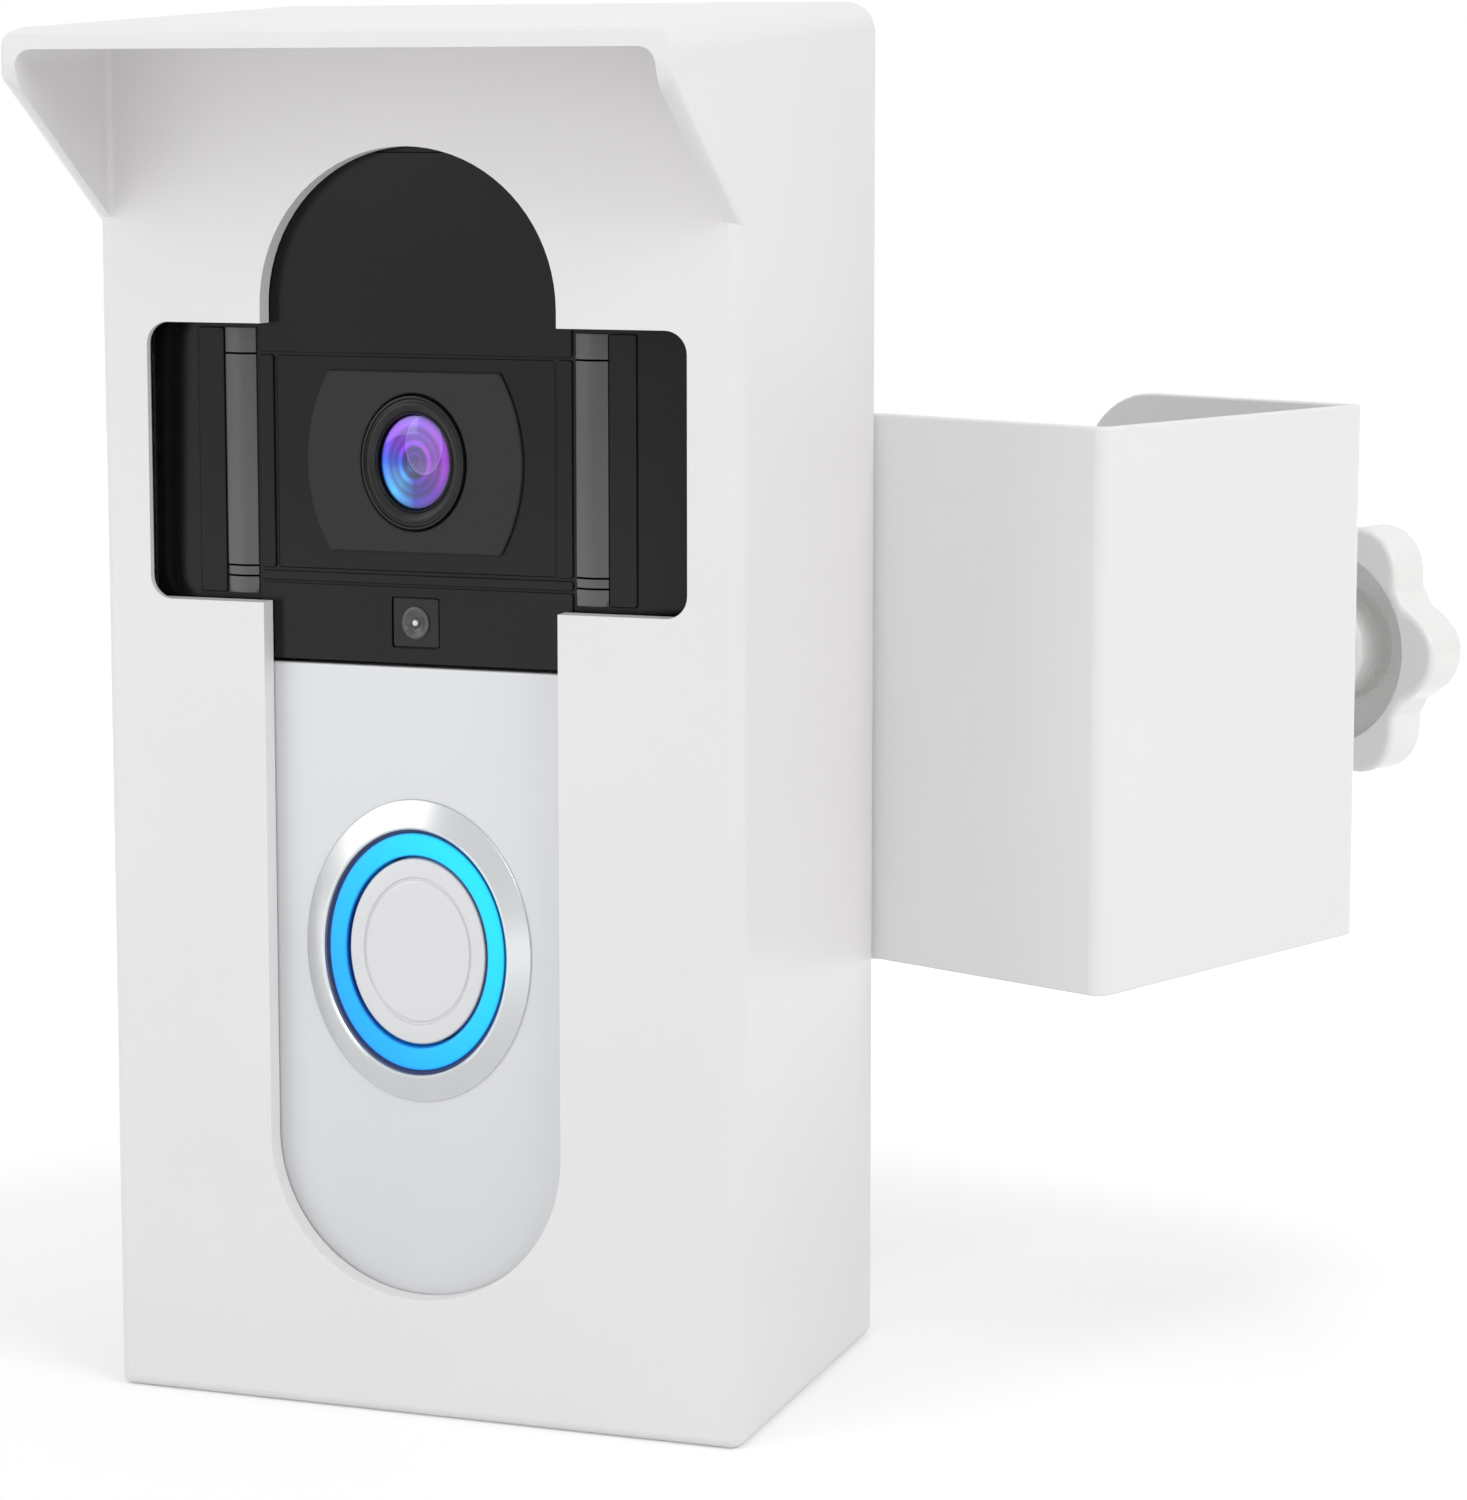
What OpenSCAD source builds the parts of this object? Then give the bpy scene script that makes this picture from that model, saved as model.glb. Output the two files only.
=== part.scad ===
/* [Housing] */
// Width of the protective housing
housing_w = 72; // [70:0.5:90]
// Depth of the housing from its front wall to its open back
housing_d = 46; // [46:0.5:60]
// Height of the housing at its back edge
housing_h = 150; // [146:0.5:190]
// Thickness of the housing walls
wall = 2.2; // [1.8:0.1:2.8]
// Radius of the rounded outer edges of the housing
edge_r = 2; // [0.5:0.1:3]
// Radius of the screw bosses inside the housing
boss_r = 3.1; // [2.8:0.1:3.3]
// Diameter of the screws that close the housing
plate_screw_d = 2.9; // [2:0.1:3.2]

/* [Rain hood] */
// How far the hood stands out in front of the front wall
hood_out = 20; // [12:0.5:30]
// Fall of the roof from the back edge to the hood rim
roof_fall = 3.7; // [2:0.1:6]
// Height of the straight part of the hood rim at its sides
rim_side_h = 5.3; // [3:0.1:10]
// Distance from the back top edge down to where the cheeks end
cheek_drop = 23.1; // [16:0.1:30]
// Thickness of the hood cheeks
cheek_t = 1.7; // [1.2:0.1:2.4]

/* [Window] */
// Width of the tall slot in the front wall
slot_w = 33.2; // [28:0.1:40]
// Sideways offset of the tall slot from the middle of the housing
slot_x = -0.5; // [-1:0.1:1]
// Distance from the base up to the bottom of the slot
slot_bottom = 12.8; // [11:0.1:20]
// Height of the tall slot
slot_h = 121.6; // [100:0.1:123]
// Width of the side wings of the window
wing_w = 60.5; // [50:0.1:61]
// Height of the side wings of the window
wing_h = 29.3; // [24:0.1:36]
// Distance from the base up to the lower edge of the wings
wing_bottom = 86.7; // [80:0.1:92]
// Corner radius of the wings
wing_r = 2.4; // [1:0.1:5]
// Thickness of the front wall at the outer ends of the wings
wing_edge_t = 0.8; // [0.6:0.1:1.6]
// How far the thinned wall reaches past the ends of the wings
wing_land = 2; // [1:0.1:3]

/* [Doorbell body] */
// Width of the doorbell
bell_w = 62; // [60:0.5:64]
// Height of the doorbell
bell_h = 126.5; // [124:0.5:130]
// Depth of the doorbell from its face to its back
bell_d = 26; // [24:0.5:28]
// Corner radius of the doorbell outline
bell_r = 7; // [3:0.5:10]
// Gap between the front wall of the housing and the doorbell face
face_gap = 0.2; // [0.1:0.1:2]
// Distance from the base up to the bottom of the doorbell
bell_bottom = 10.3; // [9.5:0.1:12]
// Wall thickness of the doorbell covers and case
bell_wall = 2; // [1.5:0.1:2.5]
// Height of the joint between the dark cover and the faceplate
split_z = 80.3; // [76:0.1:82]
// Depth of the two front covers
cover_d = 7; // [6:0.1:9]
// Half width of the flat part of the doorbell face
flat_half_w = 25; // [24.5:0.1:27]
// How far the bevelled sides of the covers fall back
side_fall = 1.5; // [1:0.1:4]
// Sideways offset of the doorbell from the middle of the housing
bell_x = -0.8; // [-0.9:0.1:0.9]

/* [Camera] */
// Height of the camera axis above the base
camera_z = 101.7; // [99:0.1:103]
// Width of the camera panel
panel_w = 31.8; // [28:0.1:32]
// Height of the camera panel
panel_h = 22.8; // [20:0.1:24]
// Width of the camera trim plate, the diameter of its round sides
trim_w = 24.3; // [22:0.1:26]
// Height of the camera trim plate between its flat edges
trim_h = 19; // [17:0.1:20]
// Width of the lens bezel
lens_w = 11.6; // [10:0.1:13]
// Height of the lens bezel
lens_h = 14.1; // [12:0.1:15]
// Width of the lens glass
glass_w = 8; // [7:0.1:9]
// Height of the lens glass
glass_h = 10.1; // [9:0.1:11]
// Distance from the middle of the face to the inner edge of each infrared window
infrared_x = 18; // [17.8:0.1:19]
// Width of each infrared window
infrared_w = 3.6; // [3:0.1:4.5]
// Height of the light sensor window above the base
sensor_z = 84.9; // [84.5:0.1:85.5]
// Width of the square light sensor window
sensor_w = 5.2; // [4:0.1:5.5]

/* [Button] */
// Height of the button axis above the base
button_z = 50; // [44:0.1:54]
// Width of the button bezel
bezel_w = 25.7; // [24:0.1:28]
// Height of the button bezel
bezel_h = 32.5; // [30:0.1:34]
// Width of the light ring
ring_w = 20.2; // [19:0.1:21]
// Height of the light ring
ring_h = 25.7; // [24:0.1:27]
// Width of the band of the light ring at its sides
ring_band = 2.1; // [1.6:0.1:2.4]
// Width of the band of the light ring at its top and bottom
ring_band_h = 2.6; // [1.6:0.1:3]
// Travel of the push button
button_travel = 1; // [0.6:0.1:1.2]
// Running gap round the push button
button_gap = 0.25; // [0.15:0.05:0.35]

/* [Door bracket] */
// Thickness of the bracket sheet
sheet = 1.5; // [1.2:0.1:2]
// Height of the bracket
bracket_h = 61.5; // [50:0.5:70]
// Distance from the base up to the lower edge of the bracket
bracket_bottom = 43.2; // [35:0.1:50]
// Angle between the bracket arm and the back of the housing
bracket_angle = 22.9; // [10:0.1:30]
// Length of the bracket arm from its bend to the first fold
arm_l = 31.2; // [26:0.1:45]
// Distance between the outer faces of the arm and the rear flange
web_l = 49.1; // [44:0.1:60]
// Length of the rear flange
flange_l = 39.5; // [34:0.1:44]
// Width of the fixing tab behind the housing
tab_l = 46; // [44:0.5:50]
// Radius of the corners at the free end of the rear flange
flange_r = 10; // [3:0.1:14]
// Radius at the folds of the bracket
fold_r = 2; // [1.8:0.1:3]
// Thickness of the foam pad on the arm
pad_t = 1.5; // [1:0.1:2.5]

/* [Clamp] */
// Height of the clamp screw above the base
clamp_z = 73.2; // [70:0.1:77]
// Diameter of the clamp screw
clamp_d = 6; // [5:0.1:6]
// Distance from the rear flange to the face of the knob
knob_gap = 20; // [14:0.1:26]
// Radius of the knob over its lobes
knob_r = 16.5; // [14:0.1:20]
// Radius of each lobe of the knob
lobe_r = 5.2; // [4:0.1:6]
// Thickness of the knob
knob_t = 7.6; // [6:0.1:12]
// Radius of the recess in the knob
recess_r = 12; // [8.5:0.1:12.4]
// Radius of the hub inside the knob
hub_r = 6.6; // [5:0.1:7.5]
// Diameter of the pressure foot
foot_d = 18; // [14:0.5:24]
// Distance from the rear flange to the back of the pressure foot at rest
foot_reach = 1.5; // [1:0.5:6]

/* [Hidden] */

$fn = 64;
eps = 0.01;
cut = 1;
front_y = -housing_d / 2;
back_y = housing_d / 2;
inner_y = front_y + wall;
side_x = housing_w / 2;
roof_run = housing_d + hood_out;
rim_top_z = housing_h - roof_fall;
rim_low_z = rim_top_z - rim_side_h;
cheek_z = housing_h - cheek_drop;

// Closing plate and its screws
plate_t = 1.5;
plate_gap = 0.3;
plate_y = back_y - plate_t;
boss_gap = 0.2;
boss_roof_gap = 1.4;
boss_x = side_x - wall - boss_r - boss_gap;
boss_low_z = wall + boss_r + boss_gap;
boss_high_z = roof_z(inner_y) - wall - boss_r - boss_roof_gap;
boss_hole_l = 10;
plate_screw_l = 8;
pilot_bite = 0.35;
pilot_r = plate_screw_d / 2 - pilot_bite;
screw_slack = 0.2;
screw_head_r = plate_screw_d;
screw_head_t = 1.6;
screw_slot_w = 1.7;
screw_slot_l = 3.5;
screw_slot_t = 0.7;
thread_bite = 0.3;
thread_fit = 0.02;

// Doorbell stack along y
face_y = inner_y + face_gap;
cover_y = face_y + cover_d;
gasket_t = 0.8;
case_y = cover_y + gasket_t;
bell_back_y = face_y + bell_d;
wall_plate_t = 2;
riser_y = bell_back_y + wall_plate_t;
bell_top = bell_bottom + bell_h;
bell_mid_z = bell_bottom + bell_h / 2;
case_in_y = bell_back_y - bell_wall;
board_t = 1.6;
board_y = cover_y;
board_back_y = board_y + board_t;
board_gap = 2;
battery_gap = 0.4;
battery_h = 62;
battery_w = 46;
battery_drop = 1;
battery_back_gap = 1.2;
battery_r = 2;
board_r = 3;
gasket_inset = 0.4;
gasket_in_gap = 0.2;
speaker_rise = 13;
speaker_r = 7;
speaker_t = 3;
lock_screw_r = 1.2;
lock_screw_l = 3.5;
lock_hole_r = 1.4;
lock_inset = 3;
lock_stand = 0.2;

// Riser between the doorbell and the closing plate
riser_w = 54;
riser_h = 110;
riser_wall = 2;
riser_screw_r = 1.5;
riser_screw_dx = 20;
riser_screw_dz = 50;
bell_screw_dz = 47;
bell_screw_r = 1.75;
riser_post_r = 3.6;
riser_r = 4;
riser_hole_l = 8;
riser_screw_l = 7;
bell_post_h = 6;
bell_hole_l = 5;
bell_screw_l = 4;
bell_head_lip = 1;
bell_head_t = 0.8;
bell_access_lip = 1.4;
wall_plate_inset = 2;

// Button
button_face_y = face_y - 0.4;
bezel_lift = 1.2;
bezel_body_w = 24.4;
bezel_body_h = 30.9;
ring_back_y = face_y + 2.4;
cap_flange_t = 1;
cap_flange_lip = 1.2;
stem_r = 2;
switch_h = 2;
cap_w = ring_w - 2 * ring_band - 2 * button_gap;
cap_h = ring_h - 2 * ring_band_h - 2 * button_gap;
groove_inset = 1.55;
groove_inset_h = 2.05;
groove_w = 0.3;
cap_flange_y = ring_back_y + 0.3;
part_gap = 0.1;
ring_proud = 0.2;
bezel_tail = 1.6;
switch_w = 6;
switch_base_t = 1.5;
switch_tip_r = 1.7;

// Camera
panel_z = camera_z - 0.3;
panel_t = 1.4;
panel_drop = 0.3;
trim_t = 0.5;
lens_lift = 0.3;
glass_drop = 0.5;
glass_t = 1.2;
lens_y = face_y + panel_drop - trim_t - lens_lift;
glass_y = lens_y + glass_drop;
module_r = 5;
sensor_r = 1.6;
sensor_proud = 0.2;
lens_gap = 0.2;
window_t = 1;
window_end_gap = 0.6;
infrared_h = wing_h - 2 * window_end_gap;
window_slack = 0.1;
panel_slack = 0.3;
bezel_stand = 1;
module_stand = 1.2;
barrel_gap = 0.3;

// Door bracket, in a frame with x along the arm and y along the web
bend_x = side_x + 0.6;
fold_steps = 8;
hole_slack = 0.15;
bolt_r = 2;
bolt_xs = [-2, 20];
bolt_dz = 15;
bolt_head_r = 3.8;
bolt_head_t = 2.2;
nut_af_r = 4;
nut_t = 3.2;
bolt_tip = 1;
screw_hole_slack = 0.5;
pad_inset = 4;
clamp_x = arm_l - flange_l / 2;
flange_y = web_l - sheet;
thread_gap = 0.05;
clamp_nut_t = 6;
clamp_nut_r = 6.5;
knob_y = web_l + knob_gap;
knob_back_y = knob_y + knob_t;
foot_back_y = flange_y - foot_reach;
foot_t = 3;
foot_pad_t = 1.5;
foot_front_y = foot_back_y - foot_t;
foot_socket_r = 3.6;
foot_socket_t = 0.9;
clip_gap = 0.05;
clip_t = 0.8;
neck_r = clamp_d / 2 - 1;
screw_embed = 1.2;
knob_lobes = 6;
knob_rim_t = 1.4;
knob_floor_t = 2;
knob_cap_seat = 0.8;
knob_cap_lift = 0.4;
knob_cap_gap = 0.15;
foot_back_gap = 0.1;
clip_side_gap = 0.2;
foot_pad_inset = 0.5;
bracket_mid_z = bracket_bottom + bracket_h / 2;

// Height of the roof above a place y along the depth
function roof_z(y) = housing_h - roof_fall * (back_y - y) / roof_run;

// Points of an upright oval
function oval_points(w, h, n = 72) =
    [for (i = [0 : n - 1]) [w / 2 * cos(360 * i / n), h / 2 * sin(360 * i / n)]];

// A flat shape drawn in x and z, made solid from y0 to y1
module slab(y0, y1) {
    translate([0, y1, 0])
        rotate([90, 0, 0])
            linear_extrude(y1 - y0)
                children();
}

// A flat shape drawn in y and z, made solid across a width centred on x = 0
module across(w) {
    translate([-w / 2, 0, 0])
        rotate([90, 0, 90])
            linear_extrude(w)
                children();
}

// A round bar along y
module bar(x, z, r, y0, y1) {
    translate([x, y0, z])
        rotate([-90, 0, 0])
            cylinder(r = r, h = y1 - y0);
}

// The bracket's own frame, which starts at the bend behind the housing
module at_bend() {
    translate([bend_x, back_y, 0])
        rotate([0, 0, -bracket_angle])
            children();
}

module rounded_rect(w, h, r) {
    offset(r = r)
        square([w - 2 * r, h - 2 * r], center = true);
}

module oval(w, h) {
    polygon(oval_points(w, h));
}

module oval_ring(w, h, band_w, band_h) {
    difference() {
        oval(w, h);
        oval(w - 2 * band_w, h - 2 * band_h);
    }
}

// Screw with a low round head whose seat is at y, pointing towards -y
module back_screw(x, z, r, length, y) {
    bar(x, z, r, y - length, y + eps);
    difference() {
        bar(x, z, screw_head_r, y, y + screw_head_t);
        translate([x, y + screw_head_t, z])
            cube([screw_slot_w, 2 * screw_slot_t, screw_slot_l], center = true);
    }
}

// Places of the four screws that close the housing, as [x, z]
function boss_places() =
    [for (x = [-boss_x, boss_x]) for (z = [boss_low_z, boss_high_z]) [x, z]];

// Places of the four screws that hold the riser, as [x, z]
function riser_places() =
    [for (x = [-riser_screw_dx, riser_screw_dx])
        for (z = [-riser_screw_dz, riser_screw_dz]) [bell_x + x, bell_mid_z + z]];

// Places of the bracket bolts, as [x, z]
function bolt_places() =
    [for (x = bolt_xs) for (z = [-bolt_dz, bolt_dz]) [x, bracket_mid_z + z]];

// Places of the two screws that hold the doorbell's wall plate, as [x, z]
function bell_screw_places() =
    [for (z = [-bell_screw_dz / 2, bell_screw_dz / 2]) [bell_x, bell_mid_z + z]];

module housing_profile() {
    offset(r = edge_r)
        offset(delta = -edge_r)
            polygon([
                [front_y, 0], [back_y, 0], [back_y, housing_h],
                [front_y - hood_out, rim_top_z], [front_y - hood_out, rim_low_z],
                [front_y, cheek_z]
            ]);
}

module housing_plan() {
    translate([0, -hood_out / 2])
        rounded_rect(housing_w, roof_run, edge_r);
}

module window_outline() {
    slot_r = slot_w / 2;
    for (z = [slot_bottom + slot_r, slot_bottom + slot_h - slot_r])
        translate([slot_x, z])
            circle(r = slot_r);
    translate([slot_x - slot_r, slot_bottom + slot_r])
        square([slot_w, slot_h - slot_w]);
    translate([0, wing_bottom + wing_h / 2])
        rounded_rect(wing_w, wing_h, wing_r);
}

module housing() {
    color("white") {
        difference() {
            intersection() {
                across(housing_w)
                    housing_profile();
                linear_extrude(housing_h)
                    housing_plan();
            }
            across(housing_w - 2 * wall)
                polygon([
                    [inner_y, wall], [back_y + cut, wall],
                    [back_y + cut, roof_z(back_y + cut) - wall],
                    [inner_y, roof_z(inner_y) - wall]
                ]);
            across(housing_w - 2 * cheek_t)
                polygon([
                    [front_y - hood_out - cut, 0], [front_y, 0],
                    [front_y, roof_z(front_y) - wall],
                    [front_y - hood_out - cut, roof_z(front_y - hood_out - cut) - wall]
                ]);
            slab(front_y - cut, inner_y + cut)
                window_outline();
            slab(front_y + wing_edge_t, inner_y + cut)
                translate([0, wing_bottom + wing_h / 2])
                    rounded_rect(wing_w + 2 * wing_land, wing_h, wing_r);
        }
        for (p = boss_places())
            difference() {
                bar(p[0], p[1], boss_r, inner_y - eps, plate_y);
                bar(p[0], p[1], pilot_r, plate_y - boss_hole_l, plate_y + cut);
            }
    }
}

module back_plate() {
    plate_low = wall + plate_gap;
    plate_high = roof_z(plate_y) - wall - plate_gap;
    plate_w = housing_w - 2 * wall - 2 * plate_gap;
    color("gainsboro")
        difference() {
            slab(plate_y, back_y)
                translate([0, (plate_low + plate_high) / 2])
                    square([plate_w, plate_high - plate_low], center = true);
            for (p = boss_places())
                bar(p[0], p[1], plate_screw_d / 2 + screw_slack, plate_y - cut, back_y + cut);
            for (p = riser_places())
                bar(p[0], p[1], riser_screw_r + screw_slack, plate_y - cut, back_y + cut);
            for (p = bolt_places())
                bar(p[0], p[1], bolt_r + hole_slack, plate_y - cut, back_y + cut);
        }
}

module plate_screws() {
    color("silver")
        for (p = boss_places())
            back_screw(p[0], p[1], pilot_r, plate_screw_l, back_y);
}

module riser() {
    color("dimgray") {
        slab(riser_y, plate_y)
            translate([bell_x, bell_mid_z])
                difference() {
                    rounded_rect(riser_w, riser_h, riser_r);
                    rounded_rect(riser_w - 2 * riser_wall, riser_h - 2 * riser_wall,
                        riser_r - riser_wall);
                }
        difference() {
            union() {
                slab(riser_y, riser_y + riser_wall)
                    translate([bell_x, bell_mid_z])
                        square([riser_w - 2 * riser_wall + eps, riser_h - 2 * riser_wall + eps],
                            center = true);
                for (p = riser_places())
                    bar(p[0], p[1], riser_post_r, riser_y, plate_y);
                for (p = bell_screw_places())
                    bar(p[0], p[1], riser_post_r, riser_y, riser_y + bell_post_h);
            }
            for (p = riser_places())
                bar(p[0], p[1], riser_screw_r - thread_bite, plate_y - riser_hole_l, plate_y + cut);
            for (p = bell_screw_places())
                bar(p[0], p[1], bell_screw_r - thread_bite, riser_y - cut, riser_y + bell_hole_l);
        }
    }
}

module riser_screws() {
    color("silver")
        for (p = riser_places())
            back_screw(p[0], p[1], riser_screw_r - thread_bite, riser_screw_l, back_y);
}

module door_bracket() {
    color("white")
        difference() {
            at_bend()
                translate([0, 0, bracket_bottom])
                    linear_extrude(bracket_h)
                        bracket_plan();
            for (p = bolt_places())
                bar(p[0], p[1], bolt_r + hole_slack, back_y - cut, back_y + sheet + cut);
            at_bend() {
                bar(clamp_x, clamp_z, clamp_d / 2 + screw_hole_slack, flange_y - cut, web_l + cut);
                flange_corners();
            }
        }
}

// Points of a quarter arc about a centre, turning from one angle to another
function fold_arc(centre, r, from, to) =
    [for (i = [0 : fold_steps])
        let (a = from + (to - from) * i / fold_steps) centre + r * [cos(a), sin(a)]];

// The whole folded sheet seen from above: tab, bend, arm, web and rear flange
module bracket_plan() {
    tab_end = -tab_l * [cos(bracket_angle), sin(bracket_angle)];
    through = sheet * [-sin(bracket_angle), cos(bracket_angle)];
    near_fold = [arm_l - fold_r, fold_r];
    far_fold = [arm_l - fold_r, web_l - fold_r];
    polygon(concat(
        [tab_end, [0, 0]],
        fold_arc(near_fold, fold_r, -90, 0),
        fold_arc(far_fold, fold_r, 0, 90),
        [[arm_l - flange_l, web_l], [arm_l - flange_l, flange_y]],
        fold_arc(far_fold, fold_r - sheet, 90, 0),
        fold_arc(near_fold, fold_r - sheet, 0, -90),
        [[-sheet * tan(bracket_angle / 2), sheet], tab_end + through]
    ));
}

// What is cut from the two corners at the free end of the rear flange
module flange_corners() {
    for (side = [0, 1])
        translate([arm_l - flange_l, flange_y - cut, bracket_bottom + side * bracket_h])
            mirror([0, 0, side])
                difference() {
                    translate([-cut, 0, -cut])
                        cube([flange_r + cut, sheet + 2 * cut, flange_r + cut]);
                    bar(flange_r, flange_r, flange_r, -cut, sheet + 3 * cut);
                }
}

module bracket_bolts() {
    color("silver")
        for (p = bolt_places()) {
            bar(p[0], p[1], bolt_r, plate_y - nut_t - bolt_tip, back_y + sheet + eps);
            bar(p[0], p[1], bolt_head_r, back_y + sheet, back_y + sheet + bolt_head_t);
        }
}

module bracket_nuts() {
    color("silver")
        for (p = bolt_places())
            difference() {
                translate([p[0], plate_y, p[1]])
                    rotate([90, 0, 0])
                        cylinder(r = nut_af_r, h = nut_t, $fn = 6);
                bar(p[0], p[1], bolt_r + thread_fit, plate_y - nut_t - cut, plate_y + cut);
            }
}

module arm_pad() {
    pad_l = arm_l - fold_r - 2 * pad_inset;
    color("dimgray")
        at_bend()
            translate([pad_inset, sheet, bracket_bottom + pad_inset])
                cube([pad_l, pad_t, bracket_h - 2 * pad_inset]);
}

module clamp_nut() {
    color("white")
        at_bend()
            difference() {
                bar(clamp_x, clamp_z, clamp_nut_r, web_l, web_l + clamp_nut_t);
                bar(clamp_x, clamp_z, clamp_d / 2 + thread_gap, web_l - cut,
                    web_l + clamp_nut_t + cut);
            }
}

module clamp_screw() {
    color("silver")
        at_bend() {
            bar(clamp_x, clamp_z, clamp_d / 2, foot_back_y, knob_back_y - screw_embed);
            bar(clamp_x, clamp_z, neck_r, foot_front_y + clip_gap + clip_t, foot_back_y + eps);
        }
}

module knob_outline() {
    lobe_centre = knob_r - lobe_r;
    valley_r = recess_r + knob_rim_t;
    offset(r = -lobe_r / 2)
        offset(r = lobe_r / 2) {
            circle(r = valley_r);
            for (i = [0 : knob_lobes - 1])
                rotate(360 / knob_lobes * i)
                    translate([lobe_centre, 0])
                        circle(r = lobe_r);
        }
}

module clamp_knob() {
    color("white")
        at_bend()
            translate([clamp_x, 0, clamp_z])
                difference() {
                    slab(knob_y, knob_back_y)
                        knob_outline();
                    difference() {
                        bar(0, 0, recess_r, knob_y - cut, knob_back_y - knob_floor_t);
                        bar(0, 0, hub_r, knob_y - 2 * cut, knob_back_y);
                    }
                    bar(0, 0, clamp_d / 2 + thread_fit, knob_y - cut, knob_back_y - screw_embed);
                    bar(0, 0, hub_r, knob_back_y - knob_cap_seat, knob_back_y + cut);
                }
}

module knob_cap() {
    color("whitesmoke")
        at_bend()
            bar(clamp_x, clamp_z, hub_r - knob_cap_gap, knob_back_y - knob_cap_seat,
                knob_back_y + knob_cap_lift);
}

module pressure_foot() {
    color("dimgray")
        at_bend()
            difference() {
                bar(clamp_x, clamp_z, foot_d / 2, foot_front_y, foot_back_y - foot_back_gap);
                bar(clamp_x, clamp_z, neck_r + thread_gap, foot_front_y, foot_back_y + cut);
                bar(clamp_x, clamp_z, foot_socket_r, foot_front_y - cut, foot_front_y + foot_socket_t);
            }
}

module foot_clip() {
    color("silver")
        at_bend()
            bar(clamp_x, clamp_z, foot_socket_r - clip_side_gap, foot_front_y + clip_gap,
                foot_front_y + clip_gap + clip_t);
}

module foot_pad() {
    color("black")
        at_bend()
            bar(clamp_x, clamp_z, foot_d / 2 - foot_pad_inset, foot_front_y - foot_pad_t,
                foot_front_y);
}

module wall_plate() {
    color("dimgray")
        difference() {
            slab(bell_back_y, riser_y)
                translate([bell_x, bell_mid_z])
                    rounded_rect(bell_w - 2 * wall_plate_inset, bell_h - 2 * wall_plate_inset,
                        bell_r - wall_plate_inset);
            for (p = bell_screw_places())
                bar(p[0], p[1], bell_screw_r + screw_slack, bell_back_y - cut, riser_y + cut);
        }
}

module wall_plate_screws() {
    color("silver")
        for (p = bell_screw_places()) {
            bar(p[0], p[1], bell_screw_r - thread_bite, bell_back_y - eps, riser_y + bell_screw_l);
            bar(p[0], p[1], bell_screw_r + bell_head_lip, bell_back_y - bell_head_t, bell_back_y);
        }
}

module bell_outline(inset) {
    translate([bell_x, bell_mid_z])
        rounded_rect(bell_w - 2 * inset, bell_h - 2 * inset, bell_r - inset);
}

module rear_case() {
    color("darkslategray")
        difference() {
            slab(case_y, bell_back_y)
                bell_outline(0);
            slab(case_y - cut, case_in_y)
                bell_outline(bell_wall);
            for (p = bell_screw_places())
                bar(p[0], p[1], bell_screw_r + bell_access_lip, case_in_y - cut, bell_back_y + cut);
        }
}

module battery() {
    color("black")
        slab(board_back_y + battery_gap, case_in_y - battery_back_gap)
            translate([bell_x, bell_bottom + bell_wall + battery_drop + battery_h / 2])
                rounded_rect(battery_w, battery_h, battery_r);
}

module circuit_board() {
    margin = bell_wall + board_gap / 2;
    color("darkgreen")
        slab(board_y, board_back_y)
            translate([bell_x, bell_mid_z])
                rounded_rect(bell_w - 2 * margin, bell_h - 2 * margin, board_r);
}

module case_gasket() {
    color("black")
        slab(cover_y, case_y)
            difference() {
                bell_outline(gasket_inset);
                bell_outline(bell_wall + gasket_in_gap);
            }
}

// The front covers seen from above: flat in the middle, bevelled at the sides
module cover_plan(inset) {
    half = bell_w / 2 - inset;
    flat = flat_half_w - inset;
    translate([bell_x, 0])
        polygon([
            [-half, cover_y + eps * inset], [-half, face_y + side_fall + inset],
            [-flat, face_y + inset], [flat, face_y + inset],
            [half, face_y + side_fall + inset], [half, cover_y + eps * inset]
        ]);
}

// One front cover between two heights, hollow at the back
module cover_shell(z0, z1, wall_low, wall_high) {
    difference() {
        intersection() {
            translate([0, 0, z0])
                linear_extrude(z1 - z0)
                    cover_plan(0);
            slab(face_y - cut, cover_y + cut)
                bell_outline(0);
        }
        intersection() {
            translate([0, 0, z0 + wall_low])
                linear_extrude(z1 - z0 - wall_low - wall_high)
                    translate([0, eps])
                        cover_plan(bell_wall);
            slab(face_y - cut, cover_y + cut)
                bell_outline(bell_wall);
        }
    }
}

module front_cover() {
    color([0.07, 0.07, 0.07])
        difference() {
            cover_shell(split_z, bell_top, bell_wall, bell_wall);
            slab(face_y - cut, face_y + panel_drop + panel_t)
                translate([bell_x, panel_z])
                    square([panel_w, panel_h], center = true);
            slab(face_y - cut, face_y + bell_wall + cut)
                translate([bell_x, camera_z])
                    oval(lens_w + lens_gap, lens_h + lens_gap);
            for (side = [-1, 1])
                slab(face_y - cut, face_y + window_t)
                    translate([bell_x + side * (infrared_x + infrared_w / 2), panel_z])
                        square([infrared_w + window_slack, infrared_h + 2 * window_slack],
                            center = true);
            slab(face_y - cut, face_y + window_t)
                translate([bell_x, sensor_z])
                    square(sensor_w + window_slack, center = true);
        }
}

module camera_panel() {
    color([0.1, 0.1, 0.1])
        slab(face_y + panel_drop, face_y + panel_drop + panel_t)
            translate([bell_x, panel_z])
                difference() {
                    square([panel_w - panel_slack, panel_h - panel_slack], center = true);
                    translate([0, camera_z - panel_z])
                        oval(lens_w + lens_gap, lens_h + lens_gap);
                }
}

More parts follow.
